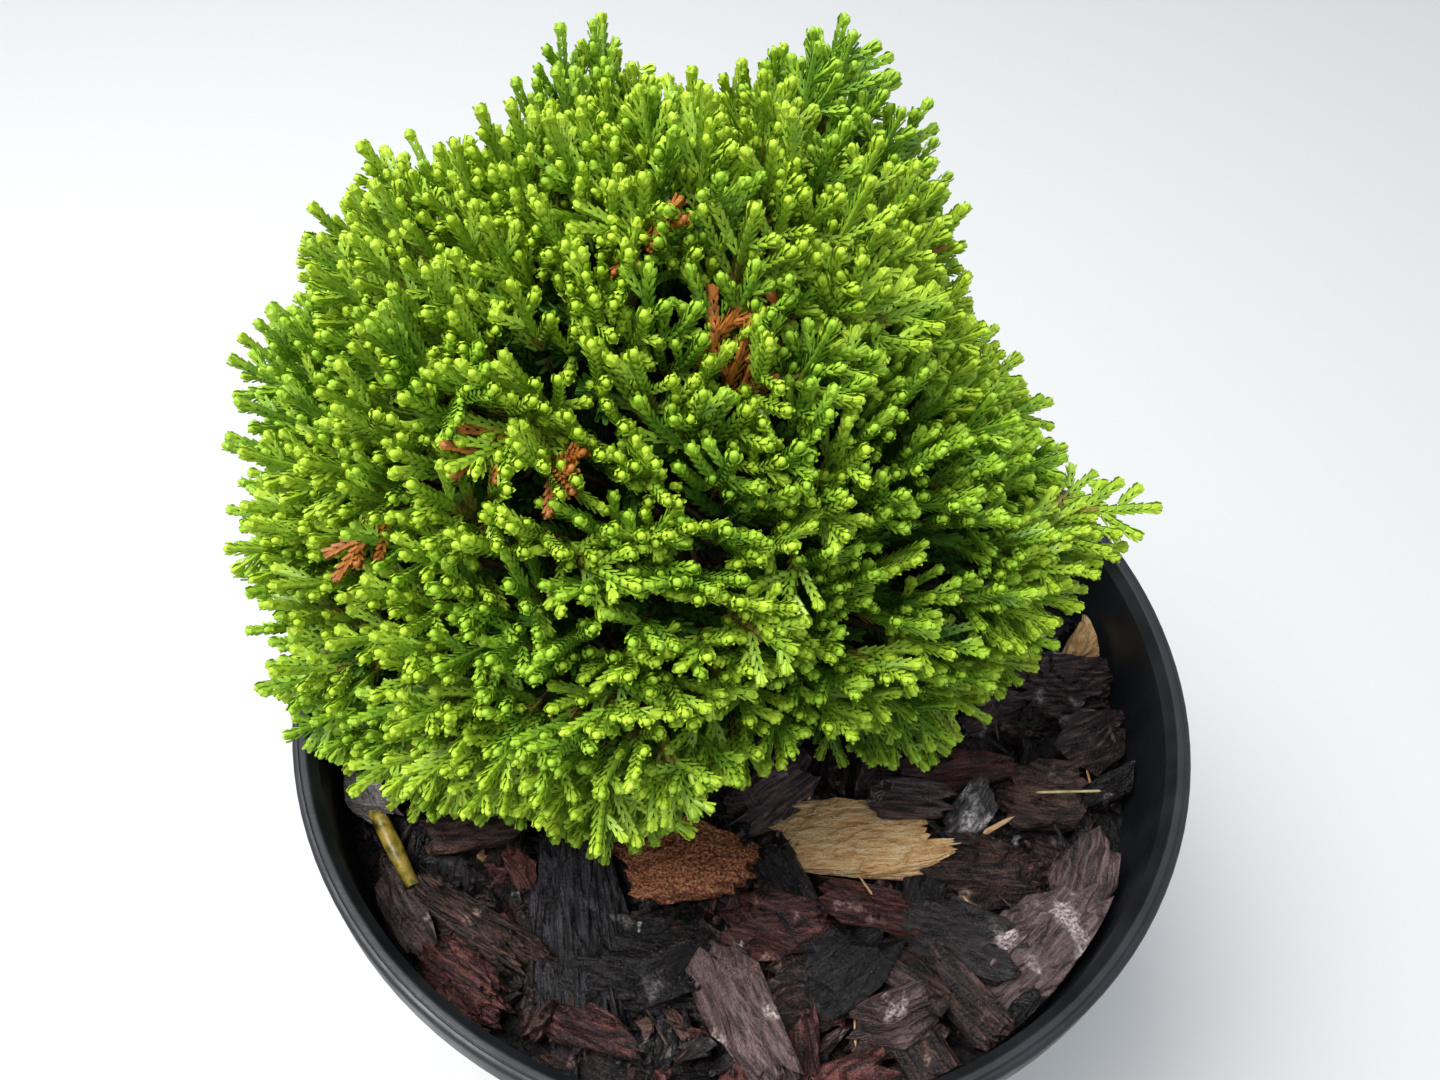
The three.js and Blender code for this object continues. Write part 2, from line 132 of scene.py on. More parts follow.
# %% [markdown]
# ## Finishes
# A finish is a Principled shader with a few helper nodes. Each helper below adds one habit of real
# surfaces: a colour that wanders between two tones, a gloss that changes from place to place, and a
# fine relief. They read Object coordinates, or the grain map of a bark chip, so that a pattern stays
# on its piece.

# %% Nodes of a finish
def feed(material, node, inputs):
    """Gives inputs of a node, by name or number, a plain value or the output of another node."""
    for key, value in inputs.items():
        if isinstance(value, bpy.types.NodeSocket):
            material.node_tree.links.new(value, node.inputs[key])
        else:
            node.inputs[key].default_value = value
    return node


def add_node(material, kind, inputs):
    return feed(material, material.node_tree.nodes.new("ShaderNode" + kind), inputs)


def new_finish(name, colour, roughness):
    material = bpy.data.materials.new(name)
    material.use_nodes = True
    shader = material.node_tree.nodes["Principled BSDF"]
    return material, feed(material, shader, {"Base Color": colour, "Roughness": roughness})

# %% Patterns and their colours
def pattern(material, scale, coordinates="Object", stretch=(1, 1, 1), detail=4.0, kind="noise"):
    """A noise or cell pattern on the piece's own coordinates, in features per metre."""
    place = add_node(material, "TexCoord", {}).outputs[coordinates]
    mapping = add_node(material, "Mapping", {"Scale": stretch, "Vector": place})
    inputs = {"Scale": scale, "Detail": detail, "Vector": mapping.outputs["Vector"]}
    if kind == "cells":
        return add_node(material, "TexVoronoi", inputs).outputs["Distance"]
    return add_node(material, "TexNoise", inputs).outputs["Fac"]


def tones(material, value, stops):
    """Turns a pattern into colour: stops are pairs of a value and a colour."""
    ramp = add_node(material, "ValToRGB", {"Fac": value})
    while len(ramp.color_ramp.elements) < len(stops):
        ramp.color_ramp.elements.new(0.5)
    for element, (position, colour) in zip(ramp.color_ramp.elements, stops):
        element.position = position
        element.color = colour
    return ramp.outputs["Color"]


def toned(material, shader, value, stops):
    """Colours a surface by a pattern: stops are pairs of a value and a screen colour."""
    stops = [(position, paint(*colour)) for position, colour in stops]
    feed(material, shader, {"Base Color": tones(material, value, stops)})


def mixed(material, way, share, low, high):
    """Mixes two colours by a share or a pattern, or multiplies the first by the second."""
    mix = add_node(material, "Mix", {})
    mix.data_type = "RGBA"
    mix.blend_type = way
    return feed(material, mix, {"Factor": share, 6: low, 7: high}).outputs[2]

# %% Gloss and relief
MOST_OF_A_PATTERN = (0.3, 0.7)


def gloss(material, shader, value, smooth, rough):
    """Lets the roughness wander between two values."""
    low, high = MOST_OF_A_PATTERN
    limits = {"From Min": low, "From Max": high, "To Min": smooth, "To Max": rough}
    ramp = add_node(material, "MapRange", {**limits, "Value": value})
    feed(material, shader, {"Roughness": ramp.outputs["Result"]})


def relief(material, shader, value, depth, strength=1.0, under=None):
    """Raises a pattern as fine relief, over another one if there is one."""
    bump = add_node(material, "Bump", {"Strength": strength, "Distance": depth, "Height": value})
    if under is not None:
        feed(material, bump, {"Normal": under})
    feed(material, shader, {"Normal": bump.outputs["Normal"]})
    return bump.outputs["Normal"]


# %% Floor
FLOOR_SIZE = 8

floor_finish, floor_shader = new_finish("pale floor", paint(214, 213, 210), 0.85)
relief(floor_finish, floor_shader, pattern(floor_finish, 220), 0.0004, 0.3)
bpy.ops.object.select_all(action="DESELECT")
bpy.ops.mesh.primitive_plane_add(size=FLOOR_SIZE)
floor = bpy.context.object
floor.name = "floor"
floor.data.materials.append(floor_finish)
floor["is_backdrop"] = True


# %% [markdown]
# ## The pot
# A nursery pot is blown or moulded from black plastic: a tapering wall, a wider band that keeps
# stacked pots apart, a folded lip, and drain holes in and round the foot. It could be a lathe curve,
# but starting from a ring and extruding it up the wall, over the lip and down the inside is how a
# modeller follows the section by eye.

# %% Working by hand
def start_clean():
    if bpy.context.object and bpy.context.object.mode != "OBJECT":
        bpy.ops.object.mode_set(mode="OBJECT")
    bpy.ops.object.select_all(action="DESELECT")


def select_only(piece):
    start_clean()
    piece.select_set(True)
    bpy.context.view_layer.objects.active = piece


def pick_vertices(test):
    """In edit mode, selects the vertices whose place passes the test."""
    data = bpy.context.object.data
    mesh = bmesh.from_edit_mesh(data)
    bpy.ops.mesh.select_all(action="DESELECT")
    for vertex in mesh.verts:
        vertex.select_set(test(vertex.co))
    mesh.select_flush(True)
    bmesh.update_edit_mesh(data)


def apply_modifiers(piece):
    select_only(piece)
    for modifier in list(piece.modifiers):
        bpy.ops.object.modifier_apply(modifier=modifier.name)


def finish_piece(piece, material, slot, *nodes):
    """Gives a finished piece its material and its body, and hides the plain solids that it stands for."""
    piece.data.materials.append(material)
    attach(piece, "root")
    if nodes:
        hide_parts(*nodes)
    print(piece.name, len(piece.data.polygons), "faces")


# %% Chance that repeats itself
def chance(row, column):
    """A share from 0 to 1 that looks random and is the same every time for the same two numbers."""
    wave = math.sin(row * 12.9898 + column * 78.233) * 43758.5453
    return wave - math.floor(wave)


def between(low, high, share):
    return low + (high - low) * share


def even_shares(steps):
    """Shares from 0 to 1 in even steps."""
    return [step / steps for step in range(steps + 1)]


# %% Turning a section
def turned(name, stations, segments):
    """Extrudes a small ring through pairs of radius and height, and closes both ends on the axis."""
    start_clean()
    radius, height = stations[0]
    bpy.ops.mesh.primitive_circle_add(vertices=segments, radius=radius * MM, location=(0, 0, height * MM))
    piece = bpy.context.object
    piece.name = name
    bpy.ops.object.transform_apply(location=True, rotation=True, scale=True)
    bpy.ops.object.mode_set(mode="EDIT")
    bpy.ops.mesh.select_all(action="SELECT")
    for next_radius, next_height in stations[1:]:
        rise = (0, 0, (next_height - height) * MM)
        bpy.ops.mesh.extrude_region_move(TRANSFORM_OT_translate={"value": rise})
        share = next_radius / radius
        middle = (0, 0, next_height * MM)
        bpy.ops.transform.resize(value=(share, share, 1), center_override=middle)
        radius, height = next_radius, next_height
    bpy.ops.mesh.merge(type="CENTER")
    bpy.ops.mesh.select_all(action="DESELECT")
    bpy.ops.mesh.select_mode(type="VERT")
    bpy.ops.mesh.select_non_manifold()
    bpy.ops.mesh.merge(type="CENTER")
    bpy.ops.mesh.select_all(action="SELECT")
    bpy.ops.mesh.normals_make_consistent(inside=False)
    bpy.ops.object.mode_set(mode="OBJECT")
    return piece


def arc(radius, height, size, start, end, steps):
    """Stations on a quarter or half round of the section, by its angles in degrees."""
    turns = [math.radians(start + (end - start) * step / steps) for step in range(steps + 1)]
    return [(radius + size * math.cos(turn), height + size * math.sin(turn)) for turn in turns]


# %% Pot sizes, read from the plain pot
pot_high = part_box("pot")[1]
RIM_HEIGHT = pot_high.z / MM
RIM_RADIUS = pot_high.x / MM
WALL = 1.8
WALL_STEPS = 10
FLOOR_TOP = 2.6
INNER_FOOT = FLOOR_TOP + 2
INNER_ROUND = 2.2
FOOT_RADIUS = RIM_RADIUS - 26
FOOT_ROUND = 3
SOLE_RADIUS = FOOT_RADIUS - FOOT_ROUND - 6
BAND_FOOT = RIM_HEIGHT - 24
BAND_STEP = 2
BODY_RADIUS = RIM_RADIUS - 4
BAND_RADIUS = BODY_RADIUS + 1
POT_SEGMENTS = 120
LIP_DEPTH = 9
LIP_WIDTH = 3.2
LIP_ROUND = 1.1
LIP_EDGE = 0.7
LIP_INSIDE = 2.6
GROOVE = 0.45
GROOVE_IN = 1.5

# %% Pot section
def wall_stations(inset, foot, shares):
    """Stations up the tapering wall, from its foot to the band."""
    radii = [between(FOOT_RADIUS, BODY_RADIUS, share) - inset for share in shares]
    return [(radius, between(foot, BAND_FOOT, share)) for radius, share in zip(radii, shares)]


shares = even_shares(WALL_STEPS)[1:]
lip_middle = RIM_RADIUS - LIP_ROUND
pot_stations = [(1, 0), (SOLE_RADIUS, 0)]
pot_stations += arc(FOOT_RADIUS - FOOT_ROUND, FOOT_ROUND, FOOT_ROUND, -90, -8, 5)
pot_stations += wall_stations(0, FOOT_ROUND, shares)
pot_stations += arc(BAND_RADIUS - 1, BAND_FOOT + BAND_STEP, 1, -60, 0, 3)
pot_stations += [(BAND_RADIUS, RIM_HEIGHT - LIP_DEPTH - 0.6)]
pot_stations += arc(lip_middle, RIM_HEIGHT - LIP_DEPTH + LIP_ROUND, LIP_ROUND, -90, 0, 4)
pot_stations += arc(lip_middle, RIM_HEIGHT - LIP_ROUND, LIP_ROUND, 0, 80, 4)
pot_stations += arc(RIM_RADIUS - GROOVE_IN, RIM_HEIGHT, GROOVE / 2, 0, -180, 4)
pot_stations += arc(RIM_RADIUS - LIP_WIDTH + 0.6, RIM_HEIGHT - LIP_EDGE, LIP_EDGE, 90, 165, 4)
pot_stations += [(BAND_RADIUS - WALL, RIM_HEIGHT - LIP_INSIDE), (BAND_RADIUS - WALL, BAND_FOOT + BAND_STEP)]
pot_stations += [(BODY_RADIUS - WALL, BAND_FOOT)]
pot_stations += wall_stations(WALL, INNER_FOOT, [1 - share for share in shares[:-1]])
pot_stations += arc(FOOT_RADIUS - WALL - INNER_ROUND, FLOOR_TOP + INNER_ROUND, INNER_ROUND, 0, -90, 4)
pot_stations += [(1, FLOOR_TOP)]
pot = turned("nursery_pot", pot_stations, POT_SEGMENTS)

# %% Drain holes
DRAIN_FLOOR = {"count": 4, "radius": 5, "ring": 40}
DRAIN_SIDE = {"count": 6, "radius": 4.5, "height": 8}
DRAIN_DEPTH = 14
DRAIN_SIDES = 20


def cut_hole(piece, place, turn, radius):
    start_clean()
    bpy.ops.mesh.primitive_cylinder_add(vertices=DRAIN_SIDES, radius=radius * MM, depth=DRAIN_DEPTH * MM,
                                        location=place, rotation=turn)
    cutter = bpy.context.object
    boolean = piece.modifiers.new("hole", "BOOLEAN")
    boolean.operation = "DIFFERENCE"
    boolean.solver = "EXACT"
    boolean.object = cutter
    apply_modifiers(piece)
    bpy.data.objects.remove(cutter, do_unlink=True)


for index in range(DRAIN_FLOOR["count"]):
    turn = (index + 0.5) / DRAIN_FLOOR["count"] * 2 * math.pi
    ring = DRAIN_FLOOR["ring"] * MM
    cut_hole(pot, (ring * math.cos(turn), ring * math.sin(turn), 0), (0, 0, 0), DRAIN_FLOOR["radius"])
for index in range(DRAIN_SIDE["count"]):
    turn = index / DRAIN_SIDE["count"] * 2 * math.pi
    place = (FOOT_RADIUS * MM * math.cos(turn), FOOT_RADIUS * MM * math.sin(turn), DRAIN_SIDE["height"] * MM)
    cut_hole(pot, place, (0, math.pi / 2, turn), DRAIN_SIDE["radius"])

# %% Pot finish
SHARP_ANGLE = math.radians(35)

plastic, plastic_shader = new_finish("black pot plastic", paint(26, 28, 32), 0.45)
scuffs = pattern(plastic, 90, stretch=(1, 1, 0.25), detail=8)
dust = pattern(plastic, 28, detail=6)
scuffed = tones(plastic, scuffs, [(0.35, paint(17, 19, 23)), (0.7, paint(29, 32, 38))])
dusted = tones(plastic, dust, [(0.5, paint(20, 22, 26)), (0.8, paint(52, 54, 56))])
feed(plastic, plastic_shader, {"Base Color": mixed(plastic, "MIX", dust, scuffed, dusted)})
gloss(plastic, plastic_shader, scuffs, 0.36, 0.62)
grain = relief(plastic, plastic_shader, pattern(plastic, 900), 0.0002, 0.25)
relief(plastic, plastic_shader, scuffs, 0.0006, 0.25, grain)
select_only(pot)
bpy.ops.object.shade_smooth_by_angle(angle=SHARP_ANGLE)
finish_piece(pot, plastic, "pot_plastic", "pot")

# %% [markdown]
# ## Soil and mulch bed
# Potting soil fills the pot and only shows through the drain holes, so the plain solid stays and
# gets a crumbly finish. On it lies a bed of fine bark, a turned disc whose top is pushed up and down
# by two sizes of noise, so that shadows show between the chips that lie on it.

# %% Soil finish
soil, soil_shader = new_finish("potting soil", paint(38, 28, 22), 0.9)
lumps = pattern(soil, 420, detail=8)
toned(soil, soil_shader, lumps, [(0.3, (18, 13, 10)), (0.55, (48, 35, 27)), (0.75, (84, 66, 50))])
relief(soil, soil_shader, pattern(soil, 500, kind="cells"), 0.0012, 0.8)
soil_block = bpy.data.objects["potting_soil"]
soil_block.data.materials.clear()
soil_block.data.materials.append(soil)

# %% Mulch bed
GROUND = RIM_HEIGHT - 40
MULCH_TOP = RIM_HEIGHT - 24
MULCH_DOME = 2.5
BED_SEGMENTS = 120
BED_RINGS = 24
BED_EDGE = 94
BED_ROUGH = 2.2
BED_COARSE, BED_FINE = 110, 330
BED_UNDER = 4.5
BED_FOOT = GROUND + 0.3
ROUGH_ABOVE = GROUND + 8


def mulch_height(x, y):
    share = math.hypot(x, y) / RIM_RADIUS
    return MULCH_TOP + MULCH_DOME * (1 - share * share)


bed_stations = [(1, BED_FOOT), (BED_EDGE - 3, BED_FOOT)]
for step in range(BED_RINGS):
    radius = BED_EDGE * (1 - step / BED_RINGS)
    bed_stations.append((radius, mulch_height(radius, 0) - BED_UNDER))
bed_stations.append((1, mulch_height(0, 0) - BED_UNDER))
bed = turned("mulch_bed", bed_stations, BED_SEGMENTS)
for vertex in bed.data.vertices:
    if vertex.co.z > ROUGH_ABOVE * MM and math.hypot(vertex.co.x, vertex.co.y) < (BED_EDGE - 1) * MM:
        coarse = noise.noise(vertex.co * BED_COARSE)
        fine = noise.noise(vertex.co * BED_FINE)
        vertex.co.z += (coarse + 0.6 * fine) * BED_ROUGH * MM

# %% Finish of the bed
# Fine bark, with its tones kept near black so that the gaps between the chips read as deep shade: the bark's
# own colour with painted shade.
fines_and_gap_shade, fines_shader = new_finish("bark fines and painted gap shade", paint(24, 18, 16), 0.6)
specks = pattern(fines_and_gap_shade, 300, detail=10)
toned(fines_and_gap_shade, fines_shader, specks, [(0.35, (5, 4, 4)), (0.55, (14, 10, 9)), (0.72, (40, 27, 23))])
gloss(fines_and_gap_shade, fines_shader, specks, 0.35, 0.8)
relief(fines_and_gap_shade, fines_shader, pattern(fines_and_gap_shade, 420, kind="cells"), 0.002, 0.9)
finish_piece(bed, fines_and_gap_shade, "mulch", "bark_mulch")


# %% [markdown]
# ## Bark chips
# The mulch is broken pine bark: plates and blocks with a long grain, torn at the ends, whose layers
# break off in steps. A chip is a cube cut by a few leaning planes and remeshed. Its ridges are two
# sizes of noise that are short across the grain and long along it, the steps are a third noise
# rounded to whole levels, and the ends are pulled out in strands. A last decimation gives crisp
# broken faces.

# %% One chip
CUT_REACH = (0.31, 0.48)
CUT_LEAN = 0.75
WEDGE = 0.3
BROAD_RIDGES = (1.6, 6, 4)
FINE_RIDGES = (5, 22, 12)
BARK_LAYERS = (1.8, 2.4, 0.6)
STRANDS = (0.6, 10, 7)
SIDE_RIDGE = 0.6
TORN = 0.28
LAYER_LEVELS = 4
STEP_HEIGHT = 0.13
CURL = 0.1


def grain_noise(place, stretch, shift):
    """A noise with so many features per unit along, across and up the grain."""
    return noise.noise(Vector([value * times for value, times in zip(place, stretch)]) + shift)


def model_chip(seed, cuts, voxel, ridge, faces):
    """A broken plate of bark, 1 unit long, wide and thick, with its grain along X."""
    start_clean()
    bpy.ops.mesh.primitive_cube_add(size=1)
    chip = bpy.context.object
    bpy.ops.object.mode_set(mode="EDIT")
    planes = []
    for cut in range(cuts):
        turn = 2 * math.pi * (cut + chance(seed, cut)) / cuts
        lean = CUT_LEAN * (2 * chance(seed, cut + 20) - 1)
        outwards = Vector((math.cos(turn), math.sin(turn), lean))
        planes.append((outwards, between(*CUT_REACH, chance(seed, cut + 40))))
    planes.append((Vector((0.3 * math.cos(seed * 2), 0.6 * math.sin(seed * 3), 1)), WEDGE))
    for outwards, reach in planes:
        bpy.ops.mesh.select_all(action="SELECT")
        bpy.ops.mesh.bisect(plane_co=outwards * reach, plane_no=outwards, use_fill=True, clear_outer=True)
    bpy.ops.object.mode_set(mode="OBJECT")
    remesh = chip.modifiers.new("even faces", "REMESH")
    remesh.mode = "VOXEL"
    remesh.voxel_size = voxel
    apply_modifiers(chip)
    own = Vector((seed * 7.3, seed * 5.1, 0))
    normals = [vertex.normal.copy() for vertex in chip.data.vertices]
    for vertex, normal in zip(chip.data.vertices, normals):
        ridges = 0.8 * grain_noise(vertex.co, BROAD_RIDGES, own)
        ridges += 0.5 * grain_noise(vertex.co, FINE_RIDGES, own)
        level = round(grain_noise(vertex.co, BARK_LAYERS, -own) * LAYER_LEVELS)
        strands = grain_noise(vertex.co, STRANDS, own * 2)
        curl = CURL * math.cos(vertex.co.x * 3 + seed)
        vertex.co += Vector((strands * TORN * abs(normal.x), normal.y * ridges * ridge * SIDE_RIDGE,
                             normal.z * (ridges * ridge + level * STEP_HEIGHT) + curl))
    decimate = chip.modifiers.new("broken faces", "DECIMATE")
    decimate.ratio = min(1, faces / (len(chip.data.polygons) * 2))
    apply_modifiers(chip)
    return chip


# %% Meshes to arrays and back
def shape_of(piece):
    """The places and the triangles of a modelled shape, which is then taken away."""
    piece.data.calc_loop_triangles()
    places = np.empty(len(piece.data.vertices) * 3)
    piece.data.vertices.foreach_get("co", places)
    corners = np.empty(len(piece.data.loop_triangles) * 3, dtype=np.int32)
    piece.data.loop_triangles.foreach_get("vertices", corners)
    bpy.data.objects.remove(piece, do_unlink=True)
    return places.reshape(-1, 3), corners.reshape(-1, 3)


def piece_of(name, places, corners, grain=None, smooth=True):
    """A mesh object from arrays of places in metres and triangle corners, with a grain map if it has one."""
    data = bpy.data.meshes.new(name)
    data.vertices.add(len(places))
    data.vertices.foreach_set("co", places.astype(np.float32).ravel())
    data.loops.add(corners.size)
    data.loops.foreach_set("vertex_index", corners.astype(np.int32).ravel())
    data.polygons.add(len(corners))
    data.polygons.foreach_set("loop_start", np.arange(0, corners.size, 3, dtype=np.int32))
    data.polygons.foreach_set("use_smooth", np.full(len(corners), smooth))
    if grain is not None:
        layer = data.uv_layers.new(name="grain")
        layer.data.foreach_set("uv", grain[corners.ravel()].astype(np.float32).ravel())
    data.update(calc_edges=True)
    data.validate()
    piece = bpy.data.objects.new(name, data)
    scene.collection.objects.link(piece)
    return piece


# %% Chip shapes
CHIP_SHAPES = 20
CHIP_VOXEL = 0.05
CHIP_FACES = 220
CHIP_RIDGES = (0.08, 0.2)

chip_shapes = []
for seed in range(CHIP_SHAPES):
    ridge = between(*CHIP_RIDGES, seed % 5 / 4)
    chip = model_chip(seed + 1, 4 + seed % 4, CHIP_VOXEL, ridge, CHIP_FACES)
    chip_shapes.append(shape_of(chip))
print("chip shapes:", [len(corners) for _, corners in chip_shapes])

# %% [markdown]
# ## Bark finishes
# Wet bark is nearly black in its hollows and shines on its ridges. Four things make it up: broad
# streaks of three tones along the grain, hair-fine lines that darken them, a few patches that are
# dusty, rusty or mouldy, and a very slow noise that sets each chip a little lighter or darker than
# its neighbours. The streaks and the fine lines also shape the relief, so the dark of the hollows
# and of the fine lines is partly painted shade, and the light of the ridges partly painted light,
# over the bark's own streaky colour. The grain map of a chip runs along its length in metres, and
# up its sides as well as across its top, so that the edges show layers. Each chip has a place of
# its own on that map.


# %% Bark finish
BLACK, WHITE = (0, 0, 0, 1), (1, 1, 1, 1)
STREAKS = (150, 1000, 1)
HAIRS = (420, 4200, 1)
CHIP_BY_CHIP = (9, 9, 1)
CHIP_SHIFT = 0.7
PATCH_EDGE = 0.08
DRIER = 0.35


def bark_finish(name, row, sandy):
    """Wet bark in three tones along the grain, with fine lines and patches of a fourth colour."""
    dark, middle, light, patch = [paint(*tone) for tone in row[:4]]
    wetness, patch_from, line_share, depth = row[4:]
    material, shader = new_finish(name, middle, 0.5)
    streaks = pattern(material, 1, "UV", STREAKS, 14)
    hairs = pattern(material, 1, "UV", HAIRS, 8)
    patches = pattern(material, 120, detail=10)
    fine = pattern(material, 1400, detail=8)
    main = pattern(material, 1700, detail=3) if sandy else streaks
    lift = add_node(material, "Math", {})
    lift.operation = "MULTIPLY_ADD"
    feed(material, lift, {0: pattern(material, 1, "UV", CHIP_BY_CHIP, 0), 1: CHIP_SHIFT, 2: main})
    # The three tones follow the streaks that also raise the broad relief: darker in its furrows as painted
    # shade and lighter on its ridges as painted light, over the grain's own colour.
    stops = [(0.36, dark), (0.51, middle), (0.66, light)]
    stops = [(position + CHIP_SHIFT / 2, tone) for position, tone in stops]
    base = tones(material, lift.outputs[0], stops)
    # The fine lines darken the grooves of the finer relief: painted shade along with the grain's own lines.
    lines = tones(material, hairs, [(0.36, BLACK), (0.54, WHITE)])
    lined = mixed(material, "MULTIPLY", line_share, base, lines)
    dusty = tones(material, fine, [(0.36, middle), (0.6, patch)])
    share = tones(material, patches, [(patch_from, BLACK), (patch_from + PATCH_EDGE, WHITE)])
    feed(material, shader, {"Base Color": mixed(material, "MIX", share, lined, dusty)})
    gloss(material, shader, patches, wetness, wetness + DRIER)
    broad = relief(material, shader, streaks, 0.002 * depth, 1.0)
    narrow = relief(material, shader, hairs, 0.0007 * depth, 0.9, broad)
    relief(material, shader, fine, 0.0008, 0.9, narrow)
    return material

# %% Kinds of bark
# Four tones each (hollows, with painted shade; broad face; ridges, with painted light; dry patches),
# then how rough the wettest spots are, where the dry patches begin, how dark the fine lines are and
# how deep the grain is.
BARKS = {
    "black": ((12, 9, 10), (26, 21, 22), (54, 46, 46), (124, 114, 112), 0.13, 0.62, 0.6, 1.0),
    "slate": ((20, 18, 20), (46, 42, 45), (80, 74, 78), (140, 134, 138), 0.2, 0.66, 0.55, 1.0),
    "brown": ((20, 13, 11), (54, 36, 31), (104, 76, 66), (184, 152, 136), 0.17, 0.64, 0.55, 0.8),
    "plum": ((34, 24, 24), (76, 56, 56), (122, 98, 95), (210, 192, 186), 0.22, 0.6, 0.5, 0.8),
    "rust": ((34, 16, 15), (77, 41, 37), (123, 73, 65), (206, 164, 150), 0.15, 0.64, 0.45, 0.8),
    "grey": ((50, 46, 46), (92, 86, 86), (142, 134, 132), (228, 220, 216), 0.34, 0.54, 0.5, 1.0),
    # The pale tones are set lighter than the wood itself, to make up for the crown's shade on the large pale
    # chip: painted light over the wood's own colour. The few small pale chips share them.
    "pale": ((204, 152, 96), (232, 186, 128), (246, 216, 168), (160, 130, 112), 0.34, 0.66, 0.15, 0.4),
    "cork": ((84, 42, 28), (182, 106, 68), (222, 156, 108), (120, 78, 62), 0.42, 0.62, 0.2, 0.5),
    "plate": ((62, 47, 48), (94, 75, 75), (118, 97, 96), (204, 188, 186), 0.28, 0.55, 0.3, 0.5),
}
bark_finishes = {kind: bark_finish(f"{kind} bark", row, kind == "cork") for kind, row in BARKS.items()}

# %% Large chips
# Each lies where its plain solid lies. A row gives the finish, length, width, thickness, heading, tip
# and the depth of the ridges; some chips have a second plate, set off along and across the first.
LARGE_CHIPS = {
    "pale_wood_chip": ("pale", 26, 17, 4, 4, 3, 0.05),
    "rust_bark_chip": ("cork", 23, 18, 8, -12, 3, 0.06),
    "ridged_bark_chip": ("slate", 38, 11, 7, -80, -4, 0.2),
    "strip_bark_chip": ("brown", 26, 7, 6, -31, 3, 0.16),
    "red_bark_chip": ("rust", 16, 10, 8, -30, 5, 0.12),
    "black_bark_chip": ("black", 25, 16, 7, -2, -6, 0.16),
    "grey_bark_chip": ("plate", 27, 18, 7, 42, 12, 0.05),
    "block_bark_chip": ("brown", 23, 15, 9, 2, -4, 0.16),
    "plum_bark_chip": ("plum", 19, 14, 8, 4, 5, 0.12),
    "crumb_bark_chip": ("rust", 17, 12, 7, -10, 6, 0.12),
}
SECOND_PLATES = {
    "pale_wood_chip": (11, -3.5, 16, 6),
    "ridged_bark_chip": (-1, 8.5, 36, 8),
    "strip_bark_chip": (10, 1, 20, 4),
}
ON_TOP = {"pale_wood_chip": 3, "rust_bark_chip": 2, "grey_bark_chip": 2.5, "block_bark_chip": -1}
LARGE_FACES = 4000
LARGE_VOXEL = 0.032
LARGE_CUTS = 6
FIRST_LARGE_SEED = 31
SECOND_TURN = 0.1
SECOND_LIFT = 0.5
# The cuts make a chip smaller than the size in its row, and this evens it out.
FULL_SIZE = 1.2

# %% Laying a chip down
WALL_ROOM = 92


def laid(size, heading, tilt, roll, place):
    """The matrix that draws a chip out to its size in millimetres and lays it down, in metres."""
    turn = Matrix.Rotation(heading, 4, "Z") @ Matrix.Rotation(tilt, 4, "Y") @ Matrix.Rotation(roll, 4, "X")
    return Matrix.Translation(Vector(place) * MM) @ turn @ Matrix.Diagonal((*(Vector(size) * MM), 1))


def place_points(points, matrix):
    """Places points, and presses those that would go through the wall of the pot back against it."""
    turn = np.array(matrix.to_3x3())
    placed = points @ turn.T + np.array(matrix.translation)
    away = np.hypot(placed[:, 0], placed[:, 1])
    placed[:, :2] *= np.minimum(1, (WALL_ROOM + 1) * MM / away)[:, None]
    return placed


def grain_map(points, size, shift):
    """Along the grain, and across it or up the sides, in metres."""
    along = points[:, 0] * size[0]
    across = points[:, 1] * size[1] + points[:, 2] * size[2]
    return np.stack([along, across], 1) * MM + shift

# %% Joining chips
def chip_batch():
    """An empty store for chips that will be joined: places, corners and grain."""
    return {"places": [], "corners": [], "grain": [], "count": 0}


def add_chip(batch, shape, size, heading, tilt, roll, place, shift):
    points, corners = shape
    batch["places"].append(place_points(points, laid(size, heading, tilt, roll, place)))
    batch["corners"].append(corners + batch["count"])
    batch["grain"].append(grain_map(points, size, shift))
    batch["count"] += len(points)


def finish_batch(name, batch, kind, node):
    """Joins the stored chips into one piece with crisp edges between its broken faces."""
    places, corners, grain = [np.vstack(batch[part]) for part in ("places", "corners", "grain")]
    piece = piece_of(name, places, corners, grain, False)
    finish_piece(piece, bark_finishes[kind], "pale_wood" if kind == "pale" else "bark_chips", node)

# %% Lay the large chips
taken = []
for number, (node, row) in enumerate(LARGE_CHIPS.items()):
    kind, length, width, thick, heading, tip, ridge = row
    low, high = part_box(node)
    middle = (low + high) / 2 / MM
    turn = math.radians(heading)
    batch = chip_batch()
    plates = [(0, 0, length, width)]
    if node in SECOND_PLATES:
        plates.append(SECOND_PLATES[node])
    for plate, (along, across, long, wide) in enumerate(plates):
        x = middle.x + along * math.cos(turn) - across * math.sin(turn)
        y = middle.y + along * math.sin(turn) + across * math.cos(turn)
        taken.append((x, y, long, wide, turn))
        seed = FIRST_LARGE_SEED + number + 20 * plate
        chip = model_chip(seed, LARGE_CUTS, LARGE_VOXEL, ridge, LARGE_FACES)
        size = (long * FULL_SIZE, wide * FULL_SIZE, thick)
        place = (x, y, middle.z + ON_TOP.get(node, 0) + plate * SECOND_LIFT)
        aim = turn + SECOND_TURN * plate
        add_chip(batch, shape_of(chip), size, aim, -math.radians(tip), 0, place, number)
    finish_batch(node + "_detail", batch, kind, node)
